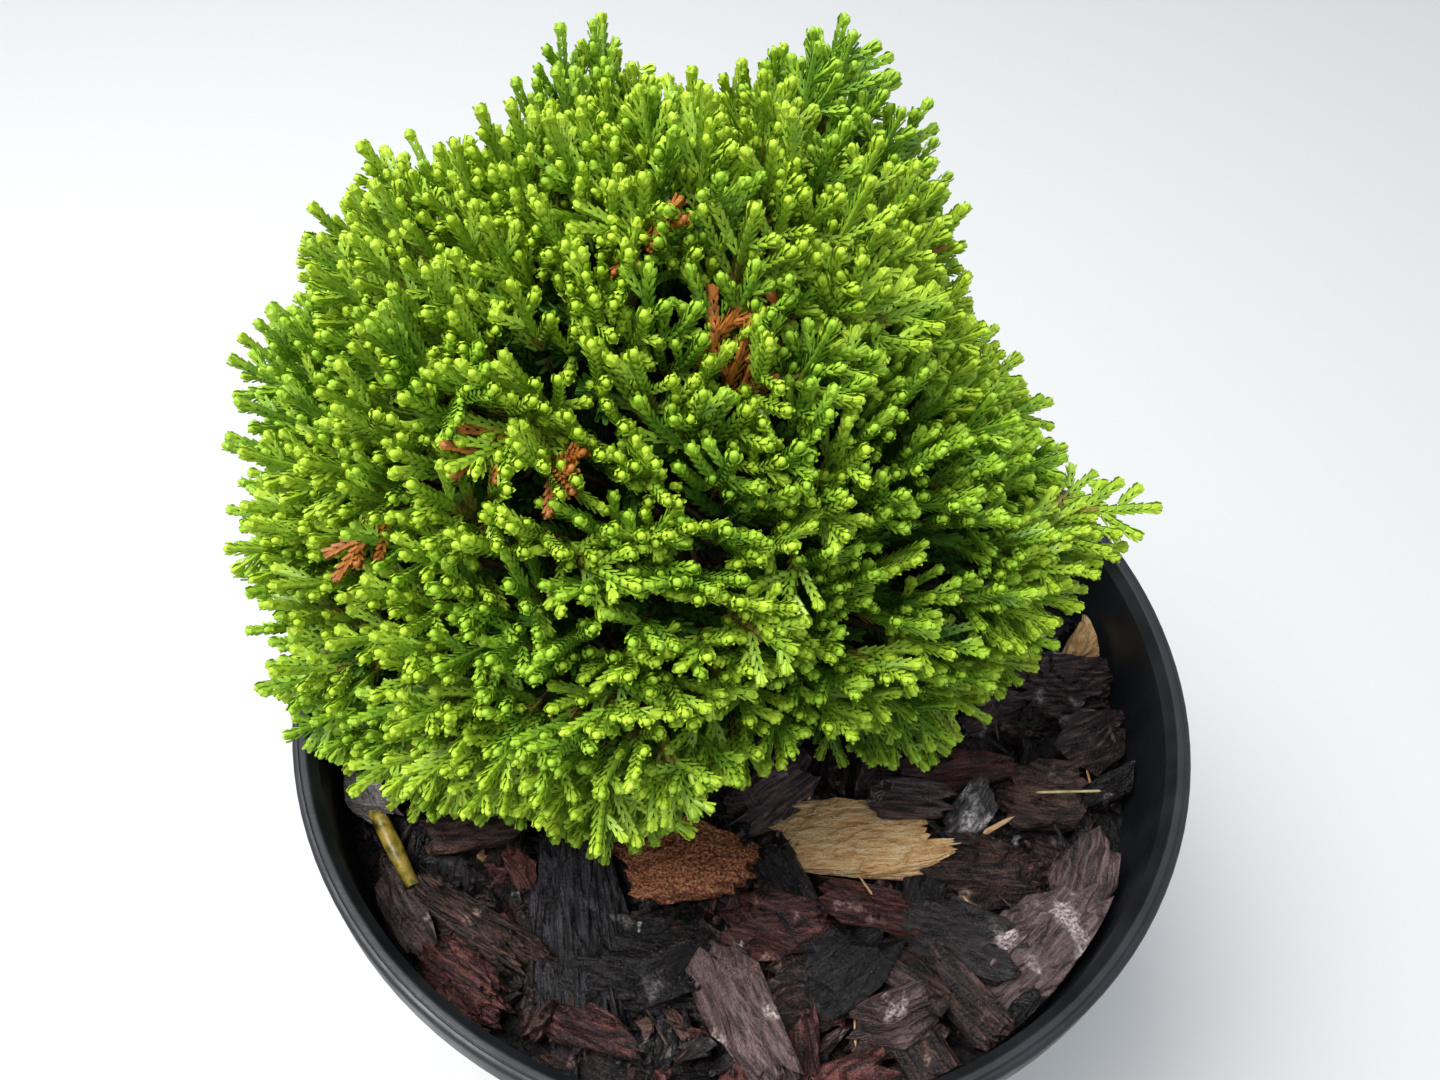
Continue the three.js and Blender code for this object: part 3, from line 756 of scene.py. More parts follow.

# %% Chips laid one by one
# Smaller chips that the photograph shows one by one: finish, place, length, width, thickness,
# heading, tip, roll and how far they stand above the bed.
LAID_CHIPS = [
    ("rust", 9, -55, 16, 12, 6, -13, 8, 20, 3.5),
    ("black", 12, -48, 18, 10, 5, -56, 6, -14, 5),
    ("rust", 29, -49, 16, 10, 6, -5, -8, -16, 2.5),
    ("plum", 9, -24, 15, 11, 6, 40, 10, 10, 3),
    ("rust", 31, -16, 14, 9, 7, 70, 12, 20, 1.5),
    ("rust", 52, -15, 22, 10, 7, 12, -6, 12, 3),
    ("plum", 40, -24, 17, 11, 6, -6, 6, -12, 3.5),
    ("grey", 53, -26, 11, 7, 4, 50, 14, 8, 3.5),
    ("brown", 70, -20, 14, 13, 8, 4, 6, 8, 3),
    ("plum", 84, -5, 16, 13, 6, 30, -10, 18, 4),
    ("pale", 87, 24, 13, 8, 4, 60, -10, 25, 4),
    ("black", 86, -17, 17, 5, 4, 25, 6, 10, 4),
    ("grey", -84, -31, 15, 7, 4, -27, 6, 14, 4.5),
    ("plum", 76, -41, 18, 12, 5, 70, 22, -20, 4),
    ("black", 48, -54, 20, 12, 5, -18, 6, 10, 3.5),
    ("brown", 47, -66, 20, 8, 5, -46, -6, 14, 4.5),
    ("brown", 36, -62, 16, 10, 5, -40, 12, -12, 4),
    ("black", 24, -63, 18, 13, 5, 35, 8, -14, 4),
    ("brown", 16, -68, 15, 12, 5, 10, -8, 16, 3),
    ("plum", 34, -73, 13, 10, 6, 20, 14, 14, 4.5),
    ("plum", 2, -72, 26, 12, 6, -66, 6, 10, 4),
    ("rust", 16, -80, 13, 6, 5, -80, 8, 12, 3.5),
    ("rust", 25, -84, 12, 9, 6, 20, 10, 10, 4),
    ("brown", 39, -78, 20, 9, 5, -60, 8, -16, 3.5),
    ("black", 60, -71, 13, 7, 5, 40, 6, 20, 2),
    ("rust", -26, -78, 16, 8, 5, -20, 8, 14, 3),
    ("black", -10, -64, 16, 10, 5, 25, -8, 18, 3),
    ("black", 41, -42, 12, 9, 5, 80, 10, -20, 1),
    ("brown", -58, -35, 18, 11, 6, 10, 8, 16, 3),
    ("plum", -70, -56, 14, 9, 6, -50, -8, -16, 0.5),
]

# %% Lay the chips of the table
chosen = {kind: chip_batch() for kind in BARKS}
for number, (kind, x, y, length, width, thick, heading, tip, roll, lift) in enumerate(LAID_CHIPS):
    turn = math.radians(heading)
    taken.append((x, y, length, width, turn))
    place = (x, y, mulch_height(x, y) + lift)
    shape = chip_shapes[(number * 3) % CHIP_SHAPES]
    size = (length * FULL_SIZE, width * FULL_SIZE, thick)
    add_chip(chosen[kind], shape, size, turn, -math.radians(tip), math.radians(roll), place, number * 0.41)

# %% Room between the chips
def is_taken(x, y, reach):
    """Whether a chip with this reach would lie on one of the large or listed chips."""
    for a, b, long, wide, turn in taken:
        along = (x - a) * math.cos(turn) + (y - b) * math.sin(turn)
        across = (y - b) * math.cos(turn) - (x - a) * math.sin(turn)
        if (along / (long / 2 + reach)) ** 2 + (across / (wide / 2 + reach)) ** 2 < 1:
            return True
    return False


# %% Small chips
GOLDEN_ANGLE = math.pi * (3 - math.sqrt(5))
SMALL_CHIPS = 560
SMALL = {"length": (7, 21), "width": (0.4, 0.85), "thickness": (2.5, 7), "tilt": (-30, 30), "roll": (-35, 35),
         "roll on edge": (55, 75), "lift": (-3.5, 3.5)}
MOSTLY_SHORT = 1.8
EDGE_GAP = 3
ON_EDGE = 0.35
BESIDE = 0.6
SUNK_LIFT = -5
SUNK_LEAN = 0.3
SHARES = [("black", 0.32), ("brown", 0.64), ("plum", 0.82), ("rust", 0.94), ("grey", 0.985), ("pale", 1.0)]


def picked(shares, pick):
    """The first kind whose limit the pick doesn't pass."""
    return next(kind for kind, limit in shares if pick <= limit)


def finish_batches(prefix, batches):
    for kind, batch in batches.items():
        if batch["count"]:
            finish_batch(f"{prefix}_{kind}", batch, kind, "bark_mulch")

# %% Lay the small chips
sunk = 0
for index in range(SMALL_CHIPS):
    ring = math.sqrt((index + 0.5) / SMALL_CHIPS) * (WALL_ROOM - EDGE_GAP) + 4 * (chance(index, 1) - 0.5)
    turn = index * GOLDEN_ANGLE
    length = between(*SMALL["length"], chance(index, 2) ** MOSTLY_SHORT)
    width = between(*SMALL["width"], chance(index, 3)) * length
    thick = between(*SMALL["thickness"], chance(index, 4))
    heading = 2 * math.pi * chance(index, 5)
    tilt = math.radians(between(*SMALL["tilt"], chance(index, 6)))
    roll = math.radians(between(*SMALL["roll"], chance(index, 7)))
    if ring + length / 2 > WALL_ROOM:
        heading = turn + math.pi / 2
        ring = min(ring, WALL_ROOM - width * 0.5 - 1)
        tilt *= 0.5
        if chance(index, 10) < ON_EDGE:
            roll = math.radians(between(*SMALL["roll on edge"], chance(index, 11)))
            ring = WALL_ROOM - EDGE_GAP
    x, y = ring * math.cos(turn), ring * math.sin(turn)
    lift = between(*SMALL["lift"], chance(index, 8))
    if is_taken(x, y, BESIDE * width):
        lift = SUNK_LIFT
        tilt, roll = tilt * SUNK_LEAN, roll * SUNK_LEAN
        sunk += 1
    batch = chosen[picked(SHARES, chance(index, 9))]
    shape = chip_shapes[index % CHIP_SHAPES]
    place = (x, y, mulch_height(x, y) + lift)
    add_chip(batch, shape, (length, width, thick), heading, tilt, roll, place, index * 0.37)
print(sunk, "chips lie under the ones that were laid by hand")
finish_batches("small_chips", chosen)

# %% [markdown]
# ## Crumbs, slivers, a stick and a straw
# In the gaps lie crumbs of bark and splinters a millimetre thick, most of them dark and a few of
# them tan. The crumb shapes are small chips with few faces. One sliver is turned as a thin spindle
# and bowed. They are then laid hundreds of times. At the left lies a hollow stick, still yellow and
# green, and at the right a dry straw.

# %% Crumbs
CRUMBS = 1500
CRUMB_SHAPES = 6
FIRST_CRUMB_SEED = 60
CRUMB_CUTS = 5
CRUMB_VOXEL = 0.14
CRUMB_RIDGE = 0.2
CRUMB_FACES = 36
CRUMB_KINDS = ["black", "brown", "black", "plum", "brown", "rust", "black", "brown", "grey"]
CRUMB = {"length": (1.2, 4.5), "width": (0.5, 1), "thickness": (0.3, 0.8), "lift": (-4, 3)}
UNDER_CHIPS = 4


def spot(index, column, reach):
    """A place on the bed, with its heading from a sunflower spiral and its distance by chance."""
    ring = math.sqrt(chance(index, column)) * reach
    turn = index * GOLDEN_ANGLE
    return ring * math.cos(turn), ring * math.sin(turn)

# %% Crumb shapes
crumb_shapes = []
for seed in range(CRUMB_SHAPES):
    crumb = model_chip(seed + FIRST_CRUMB_SEED, CRUMB_CUTS, CRUMB_VOXEL, CRUMB_RIDGE, CRUMB_FACES)
    crumb_shapes.append(shape_of(crumb))

# %% Lay the crumbs
crumbs = {kind: chip_batch() for kind in CRUMB_KINDS}
for index in range(CRUMBS):
    x, y = spot(index, 71, WALL_ROOM)
    length = between(*CRUMB["length"], chance(index, 72) ** 2)
    width = length * between(*CRUMB["width"], chance(index, 73))
    thick = length * between(*CRUMB["thickness"], chance(index, 74))
    tilt, roll = 3 * chance(index, 75), 3 * chance(index, 76)
    height = mulch_height(x, y) + between(*CRUMB["lift"], chance(index, 77))
    if is_taken(x, y, -1):
        height -= UNDER_CHIPS
    heading = 2 * math.pi * chance(index, 78)
    batch = crumbs[CRUMB_KINDS[index % len(CRUMB_KINDS)]]
    shape = crumb_shapes[index % CRUMB_SHAPES]
    add_chip(batch, shape, (length, width, thick), heading, tilt, roll, (x, y, height), index * 0.19)
finish_batches("crumbs", crumbs)

# %% Slivers
SLIVERS = 340
SLIVER_SHAPE = [(0.14, 0), (0.5, 0.1), (0.42, 0.7), (0.2, 1)]
SLIVER_SIDES = 4
SLIVER_BOW = 0.1
SLIVER_SHARES = [("black", 0.5), ("brown", 0.82), ("rust", 0.96), ("pale", 1.0)]
SLIVER = {"length": (5, 15), "width": (0.5, 1.6), "tilt": (-24, 24), "lift": (0, 4)}
SLIVER_EDGE = 8

# %% One sliver
sliver = turned("sliver", [(radius / MM, height / MM) for radius, height in SLIVER_SHAPE], SLIVER_SIDES)
sliver_points, sliver_corners = shape_of(sliver)
sliver_points = sliver_points[:, [2, 0, 1]] - np.array([0.5, 0, 0])
sliver_points[:, 2] += SLIVER_BOW * np.cos(sliver_points[:, 0] * 3)

# %% Lay the slivers
slivers = {kind: chip_batch() for kind, _ in SLIVER_SHARES}
for index in range(SLIVERS):
    x, y = spot(index, 61, WALL_ROOM - SLIVER_EDGE)
    length = between(*SLIVER["length"], chance(index, 62) ** 2)
    width = between(*SLIVER["width"], chance(index, 63) ** 1.5)
    tilt = math.radians(between(*SLIVER["tilt"], chance(index, 64)))
    height = mulch_height(x, y) + between(*SLIVER["lift"], chance(index, 65))
    if is_taken(x, y, -1):
        height -= UNDER_CHIPS
    heading = 2 * math.pi * chance(index, 66)
    batch = slivers[picked(SLIVER_SHARES, chance(index, 67))]
    size = (length, width, width * 0.6)
    add_chip(batch, (sliver_points, sliver_corners), size, heading, tilt, 0, (x, y, height), index * 0.29)
finish_batches("slivers", slivers)

# %% A hollow stick and a straw
STICK = {"place": (-74, -43), "lift": 4.5, "heading": -54, "tilt": 6, "length": 20, "radius": 1.7}
STICK_BORE = 1.0
STRAW = {"place": (75, -21), "lift": 8, "heading": 4, "tilt": -3, "length": 15, "radius": 0.3}
STICK_SPLIT = 0.35


def lie_down(piece, values):
    """Lays a turned stick down about its middle, at its place on the mulch."""
    x, y = values["place"]
    piece.data.transform(Matrix.Translation((0, 0, -values["length"] * MM / 2)))
    piece.data.transform(Matrix.Rotation(math.pi / 2, 4, "Y"))
    heading, tilt = math.radians(values["heading"]), math.radians(values["tilt"])
    turn = Matrix.Rotation(heading, 4, "Z") @ Matrix.Rotation(tilt, 4, "Y")
    height = mulch_height(x, y) + values["lift"]
    piece.data.transform(Matrix.Translation(Vector((x, y, height)) * MM) @ turn)


def stem_finish(name, stops, roughness):
    material, shader = new_finish(name, paint(*stops[0][1]), roughness)
    fibres = pattern(material, 300, detail=8)
    toned(material, shader, fibres, stops)
    relief(material, shader, fibres, 0.0005, 0.7)
    return material

# %% Hollow stick
length, radius, bore = STICK["length"], STICK["radius"], STICK_BORE
stick_stations = [(bore * 0.3, 0), (radius * 0.8, 0), (radius, 1), (radius * 1.05, length * 0.5)]
stick_stations += [(radius * 0.9, length), (bore, length)]
stick_stations += [(bore * 0.9, length * 0.7), (bore * 0.3, length * 0.7)]
stick = turned("green_stick", stick_stations, 14)
for vertex in stick.data.vertices:
    split = noise.noise(Vector((vertex.co.x * 900, vertex.co.y * 900, vertex.co.z * 60)))
    vertex.co += Vector((vertex.co.x, vertex.co.y, 0)) * split * STICK_SPLIT
for face in stick.data.polygons:
    face.use_smooth = True
lie_down(stick, STICK)
stick_tones = [(0.34, (44, 34, 18)), (0.46, (128, 112, 30)), (0.58, (168, 140, 62)), (0.7, (92, 104, 36))]
finish_piece(stick, stem_finish("yellow stick", stick_tones, 0.4), "mulch")

# %% Straw
length, radius = STRAW["length"], STRAW["radius"]
straw = turned("straw", [(radius * 0.5, 0), (radius, 0.6), (radius, length - 0.6), (radius * 0.5, length)], 8)
lie_down(straw, STRAW)
straw_tones = [(0.35, (150, 140, 84)), (0.65, (204, 196, 140))]
finish_piece(straw, stem_finish("dry straw", straw_tones, 0.5), "mulch")

# %% [markdown]
# ## Trunk and boughs
# Under the leaves a short trunk forks into boughs, covered with thin stringy bark. Each limb is a
# row of rings along a curve, and the bark's furrows are real relief: every point is pushed in or out
# by a noise that is stretched along the limb.

# %% The heart of the crown and its masses
HEART = Vector((-14, 12, RIM_HEIGHT + 22))
UP = Vector((0, 0, 1))
TRUNK = {"foot": Vector((-2, 1, GROUND + 0.3)), "bow": Vector((3, -2, 0)), "base": 6.6, "top": 3.6,
         "flare": 0.75, "flare_height": 4.7, "above_heart": 12, "sides": 36, "rings": 60, "relief": 0.45}
BOUGH = {"base": 2.2, "tip": 1.4, "end": 0.4, "knee": 0.55, "arrive": 0.2, "fork": 1.4, "sag": 3,
         "sides": 14, "rings": 26, "relief": 0.22}
TIERS = {
    "low": {"headings": [22, 72, 126, 178, 214, 250, 293, 323, 352],
            "lifts": [11, 8, 9, 10, -2, -14, -14, -4, 16],
            "reaches": [87, 92, 94, 95, 91, 68, 58, 70, 90],
            "roots": [-38, -32, -26]},
    "mid": {"headings": [0, 50, 100, 148, 194, 242, 300],
            "lifts": [34, 36, 34, 34, 34, 30, 30],
            "reaches": [78, 80, 92, 98, 96, 88, 76],
            "roots": [-20, -15, -11]},
    "high": {"headings": [58, 130, 200, 268, 345],
             "lifts": [58, 58, 58, 60, 58],
             "reaches": [94, 104, 101, 94, 85],
             "roots": [-3, -2, -1]},
    "lead": {"headings": [146, 36], "lifts": [79, 79], "reaches": [110, 108], "roots": [0]},
}

# %% One mass of foliage
class Mass:
    """One foliage mass: a cone of space round an axis from the heart."""

    def __init__(self, tier, number, row):
        values = TIERS[tier]
        heading = math.radians(values["headings"][number])
        lift = math.radians(values["lifts"][number])
        level = math.cos(lift)
        self.tier = tier
        self.name = f"{tier}_{number + 1}"
        self.row = row
        self.axis = Vector((level * math.cos(heading), level * math.sin(heading), math.sin(lift)))
        self.reach = values["reaches"][number]
        self.root = values["roots"][number % len(values["roots"])]
        self.first = UP.cross(self.axis).normalized()
        self.second = self.axis.cross(self.first).normalized()

# %% All masses
masses = []
for tier, values in TIERS.items():
    for number in range(len(values["headings"])):
        masses.append(Mass(tier, number, len(masses)))
print("masses:", len(masses))


# %% Curves of the limbs
def bezier(points, share):
    """A point on a curve that is pulled towards its inner points."""
    while len(points) > 1:
        points = [a.lerp(b, share) for a, b in zip(points, points[1:])]
    return points[0]

# %% Trunk and bough lines
def trunk_point(share):
    fork = HEART + UP * TRUNK["above_heart"]
    bend = TRUNK["foot"].lerp(fork, 0.5) + TRUNK["bow"]
    return bezier([TRUNK["foot"], bend, fork], share)


def bough_points(mass):
    """The points that shape a bough. The two leaders stand on the fork, and the others leave the trunk."""
    end = HEART + mass.axis * (mass.reach * BOUGH["end"])
    if mass.tier == "lead":
        aside = Vector((mass.axis.x, mass.axis.y, 0)).normalized()
        start = trunk_point(1) + aside * (BOUGH["base"] * BOUGH["fork"])
        return [start, Vector((start.x, start.y, (start.z + end.z) / 2)), end]
    nearest = min(even_shares(100), key=lambda s: abs(trunk_point(s).z - HEART.z - mass.root))
    start = trunk_point(nearest)
    knee = start.lerp(end, BOUGH["knee"]) - UP * BOUGH["sag"]
    arrive = end - mass.axis * (BOUGH["arrive"] * (end - start).length)
    return [start, knee, arrive, end]


# %% Rings along a curve
BROAD_FURROWS = {"round": 2.6, "along": 0.055}
FINE_FURROWS = {"round": 6, "along": 0.2}


def furrow_noise(out, centre, times):
    return noise.noise(out * times["round"] + centre * times["along"])


def limb_shape(centres, radii, sides, furrow):
    """Places and triangles of a round limb in millimetres, closed at both ends."""
    places, corners = [], []
    ahead = (centres[1] - centres[0]).normalized()
    side = ahead.orthogonal().normalized()
    for ring, centre in enumerate(centres):
        ahead = (centres[min(ring + 1, len(centres) - 1)] - centres[max(ring - 1, 0)]).normalized()
        side = (side - ahead * side.dot(ahead)).normalized()
        across = ahead.cross(side)
        for step in range(sides):
            turn = 2 * math.pi * step / sides
            out = side * math.cos(turn) + across * math.sin(turn)
            groove = furrow_noise(out, centre, BROAD_FURROWS) + 0.5 * furrow_noise(out, centre, FINE_FURROWS)
            places.append(centre + out * (radii[ring] + furrow * groove))
    for ring in range(len(centres) - 1):
        for step in range(sides):
            a, b = ring * sides + step, ring * sides + (step + 1) % sides
            corners += [(a, b, b + sides), (a, b + sides, a + sides)]
    last = len(places) - sides
    places += [centres[0], centres[-1]]
    for step in range(sides):
        corners.append((len(places) - 2, (step + 1) % sides, step))
        corners.append((len(places) - 1, last + step, last + (step + 1) % sides))
    return np.array(places), np.array(corners)

# %% Joining shapes
def join_shapes(shapes):
    """Many shapes as one, with each one's corners counted on from those before it."""
    starts = np.cumsum([0] + [len(places) for places, _ in shapes[:-1]])
    places = np.vstack([places for places, _ in shapes])
    corners = np.vstack([corners + start for (_, corners), start in zip(shapes, starts)])
    return places, corners


# %% Trunk
def trunk_radius(share):
    rise = share * (HEART.z + TRUNK["above_heart"] - TRUNK["foot"].z)
    flare = TRUNK["flare"] * math.exp(-rise / TRUNK["flare_height"])
    return between(TRUNK["base"], TRUNK["top"], share) * (1 + flare)


shares = even_shares(TRUNK["rings"])
radii = [trunk_radius(share) for share in shares]
places, corners = limb_shape([trunk_point(share) for share in shares], radii, TRUNK["sides"], TRUNK["relief"])
trunk = piece_of("trunk_bark", places * MM, corners)

# %% Limb bark
# The brown is kept dark to stand for the deep shade under the crown: painted shade over the bark's own
# stringy tones.
limb_bark, limb_shader = new_finish("stringy limb bark and painted shade", paint(104, 72, 50), 0.8)
strings = pattern(limb_bark, 700, stretch=(1, 1, 0.16), detail=8)
toned(limb_bark, limb_shader, strings, [(0.32, (30, 20, 15)), (0.52, (66, 47, 33)), (0.72, (104, 80, 58))])
gloss(limb_bark, limb_shader, strings, 0.6, 0.9)
relief(limb_bark, limb_shader, strings, 0.0008, 0.9)
finish_piece(trunk, limb_bark, "limb_bark", "trunk")

# %% Boughs
shapes = []
shares = even_shares(BOUGH["rings"])
radii = [between(BOUGH["base"], BOUGH["tip"], share) for share in shares]
for mass in masses:
    points = bough_points(mass)
    centres = [bezier(points, share) for share in shares]
    shapes.append(limb_shape(centres, radii, BOUGH["sides"], BOUGH["relief"]))
places, corners = join_shapes(shapes)
boughs = piece_of("bough_bark", places * MM, corners)
finish_piece(boughs, limb_bark, "limb_bark", *[f"bough_{mass.name}" for mass in masses])


# %% [markdown]
# ## The surface of the crown
# The crown is a mound with two leaders that stand up at the back. How far it reaches in a direction
# is a blend of the reaches of the masses nearby, and a few swells and hollows then give it the
# leaders, the dip between them and the notches that the photograph shows.

# %% Reach of the crown
BLEND_ANGLE = math.radians(17)
AXES = np.array([mass.axis for mass in masses])
REACHES = np.array([mass.reach for mass in masses])


def direction(heading, lift):
    turn, rise = math.radians(heading), math.radians(lift)
    return Vector((math.cos(rise) * math.cos(turn), math.cos(rise) * math.sin(turn), math.sin(rise)))

# %% Swells and hollows
# Heading, lift and width in degrees, and how many millimetres the surface is out or in there.
SWELLS = [
    (123, 61, 6, 20), (134, 54, 7, -30), (60, 61, 9, 19), (45, 54, 8, 8), (108, 61, 6, -12),
    (96, 72, 14, -5), (140, 49, 7, -22), (138, 38, 8, -14), (156, 47, 8, 6), (178, 34, 14, 4),
    (194, 20, 6, -6), (22, 42, 10, -6), (10, 26, 12, -6), (352, 20, 7, 6), (354, 22, 3.5, 10),
    (345, 6, 9, -6), (222, -12, 9, -8), (244, -14, 8, 3), (298, -6, 17, -29), (298, -22, 14, -30),
    (318, -11, 9, 9),
]
SWELL_WAYS = np.array([direction(heading, lift) for heading, lift, _, _ in SWELLS])
SWELL_WIDTHS = np.radians([width for _, _, width, _ in SWELLS])
SWELL_HEIGHTS = np.array([height for _, _, _, height in SWELLS])

# %% Surface of the crown
def crown_reach(way):
    """How far the crown reaches in a direction from the heart, in millimetres."""
    way = np.array(way)
    near = np.exp(-(np.arccos(np.clip(AXES @ way, -1, 1)) / BLEND_ANGLE) ** 2)
    off = np.arccos(np.clip(SWELL_WAYS @ way, -1, 1)) / SWELL_WIDTHS
    return float(near @ REACHES / near.sum() + np.exp(-off ** 2) @ SWELL_HEIGHTS)


tested = [round(crown_reach(direction(*way))) for way in ((90, 90), (180, 20), (270, 20))]
print("reach at the top, left and front:", tested)


# %% [markdown]
# ## How a spray grows
# A spray of this plant is flat, like a fern: at every second ring of scales a side shoot leaves the
# axis, on alternate sides, and it branches again by the same rule until too little length is left.
# The tips of the sprays stand on a sunflower spiral about the axis of their mass, on the surface of
# the crown, and about one spray in four has a second one that arches over its neighbours and turns
# its flat face outwards. A shoot stops where it would leave the crown or its mass's own cone, or
# dip into the mulch or the rim. The outer sprays have dropped their inner scales, where little
# light comes. Layers of darker inner sprays stand behind them, so that nothing shows through.

# %% The room of each mass
OVER_MULCH = 9
OVER_RIM = 3
RIM_GUARD = 12

for mass in masses:
    walls = [(mass.axis - other.axis).normalized() for other in masses if other is not mass]
    mass.walls = np.array(walls)


def has_room(mass, point, stray):
    """Whether a point, measured from the heart, is inside the mass's cone or at most stray beyond it."""
    if (mass.walls @ np.array(point)).min() < -stray:
        return False
    over_rim = math.hypot(point.x + HEART.x, point.y + HEART.y) > RIM_RADIUS - RIM_GUARD
    lowest = RIM_HEIGHT + OVER_RIM if over_rim else MULCH_TOP + OVER_MULCH
    return point.z + HEART.z > lowest


# %% Plan of a spray
SPREAD = math.radians(44)
ROOT_SHARE = 0.68
ROOT_SPREAD = 0.85
RAGGED = 0.07
UPRIGHT = 0.8
INWARD = 0.35
ROLL = math.radians(40)
ARCH_LENGTH = 0.26
ARCH_INSIDE = 0.9
ARCH_START = 0.35
ARCH_LEAN = (0.9, 1.3)
ARCH_FACE = 0.35
PULLS = {"straight": 0.05, "arched": 0.2, "side": 0.08}
TONE_SPOTS = 2.6
TONE_DRIFT = 0.9
TONE_CHANCE = 0.5

# %% One spray
class Spray:
    """One spray: where it starts, where it heads, what it bends towards and which way its face looks."""

    def __init__(self, mass, k, count, depth):
        edge = math.sqrt((k + 0.5) / count)
        lean = SPREAD * edge
        turn = k * GOLDEN_ANGLE + mass.row + depth
        aside = mass.first * math.cos(turn) + mass.second * math.sin(turn)
        way = mass.axis * math.cos(lean) + aside * math.sin(lean)
        reach = crown_reach(way) * depth * (1 - RAGGED * chance(mass.row, k))
        self.mass = mass
        self.way = way
        self.tip = way * reach
        self.tone = 0.5 + TONE_DRIFT * noise.noise(way * TONE_SPOTS)
        self.tone += TONE_CHANCE * (chance(mass.row + 91, k) - 0.5)
        root = reach * ROOT_SHARE
        self.start = mass.axis * root + aside * (root * math.tan(lean) * ROOT_SPREAD)
        self.heading = (self.tip - self.start).normalized()
        self.aim = self.heading
        self.pull = PULLS["straight"]
        self.length = (self.tip - self.start).length
        level = Vector((way.x, way.y, 0))
        tilt = UP * UPRIGHT - level * INWARD
        tilt += Vector((chance(mass.row + 31, k) - 0.5, chance(mass.row + 57, k) - 0.5, 0))
        face = (tilt - self.heading * tilt.dot(self.heading)).normalized()
        self.face = Matrix.Rotation(ROLL * (2 * chance(mass.row + 83, k) - 1), 3, self.heading) @ face

    def arch(self, way, turn, reach, share):
        """Bends the spray over its neighbours, so that its flat face looks outwards."""
        along = Matrix.Rotation(turn * 2, 3, way) @ way.orthogonal().normalized()
        self.start = way * (reach * (1 - ARCH_LENGTH * ARCH_INSIDE))
        self.heading = (way + along * ARCH_START).normalized()
        lean = between(*ARCH_LEAN, share)
        self.aim = way * math.cos(lean) + along * math.sin(lean)
        self.pull = PULLS["arched"]
        self.length = reach * ARCH_LENGTH
        self.face = (way * ARCH_FACE - along).normalized()


# %% Habits of a shoot
SCALE_GAP = 1.6
SHADE_GAP = 2.3
SHADE_SIZE = 1.3
AXIS_SIZES = (1.12, 1.0)
SHOOT_SIZES = (0.92, 1.08)
RING_SIZES = (0.96, 1.06)
BRANCH_EVERY = 2
LAST_ORDER = 3
FORK_ANGLE = 46
FORK_TIMES = (0.85, 1.2)
FORK_TILT = (-18, 18)
CHILD_SHARES = (0.8, 0.62, 0.6)
CHILD_TIMES = (0.8, 1.12)
SHORTEST = 3.0
LIT_SHARE = 0.79
BARE_SHARE = 0.15
FURTHEST = 1.01
STRAY = 7.0
CUP = 0.012
WANDER = 0.08
BUD_AHEAD = 0.55

# %% Growing shoots
rings = {}
buds = {}
twigs = []


def note(store, kind, mass, place, heading, face, size):
    side = face.cross(heading)
    store.setdefault((kind, mass.row), []).append((*place, *side, *face, *heading, size))


def grow(spray, place, heading, face, aim, length, order, kinds, dice):
    """Adds the rings of scale leaves of one shoot and grows its side shoots. Returns its path."""
    shaded = kinds == KINDS_INNER
    gap = SHADE_GAP if shaded else SCALE_GAP
    lit = 0 if shaded else LIT_SHARE
    pull = spray.pull if order == 0 else PULLS["side"]
    steps = max(2, round(length / gap))
    bare = round(steps * BARE_SHARE) if order == 0 else 0
    hand = 1 if dice.random() < 0.5 else -1
    path = [place]
    size = between(*AXIS_SIZES, min(1, order / 2)) * between(*SHOOT_SIZES, dice.random())
    size *= SHADE_SIZE if shaded else 1
    for step in range(steps):
        next_place = place + heading * gap
        share = next_place.length / crown_reach(next_place.normalized())
        if step > 1 and (share > FURTHEST or not has_room(spray.mass, next_place, STRAY)):
            break
        place = next_place
        path.append(place)
        left = steps - step - 1
        if step >= bare and share > lit:
            kind = kinds[min(left, len(kinds) - 1)]
            note(rings, kind, spray.mass, place, heading, face, size * between(*RING_SIZES, dice.random()))
        wander = Vector((dice.random() - 0.5, dice.random() - 0.5, dice.random() - 0.5)) * WANDER
        heading = (heading + (aim - heading) * pull + face * CUP + wander).normalized()
        face = (face - heading * face.dot(heading)).normalized()
        if order == LAST_ORDER or step < bare or (step - bare) % BRANCH_EVERY != 1:
            continue
        child = left * gap * CHILD_SHARES[order] * between(*CHILD_TIMES, dice.random())
        hand = -hand
        angle = math.radians(FORK_ANGLE * between(*FORK_TIMES, dice.random())) * hand
        tilt = math.radians(between(*FORK_TILT, dice.random()))
        if child > SHORTEST and share + child / spray.mass.reach > lit:
            branch = Matrix.Rotation(angle, 3, face) @ heading
            branch = Matrix.Rotation(tilt, 3, heading) @ branch
            branch_face = (face - branch * face.dot(branch)).normalized()
            grow(spray, place, branch, branch_face, heading, child, order + 1, kinds, dice)
    if share > lit and not shaded:
        note(buds, kinds[0], spray.mass, place + heading * BUD_AHEAD * gap, heading, face, size)
    return path


def grow_spray(spray, kinds, dice):
    """Grows a spray from its start and keeps the path of its axis for a twig."""
    path = grow(spray, spray.start, spray.heading, spray.face, spray.aim, spray.length, 0, kinds, dice)
    twigs.append((spray, path))


# %% Layers of sprays
# A layer is how deep its tips stand, as a share of the reach, and the square millimetres to a spray.
OUTER_LAYER = (1.0, 110)
INNER_LAYERS = [(0.87, 180), (0.68, 240)]
HEART_LAYERS = [(0.68, 300), (0.5, 200)]
ARCHED = 0.24
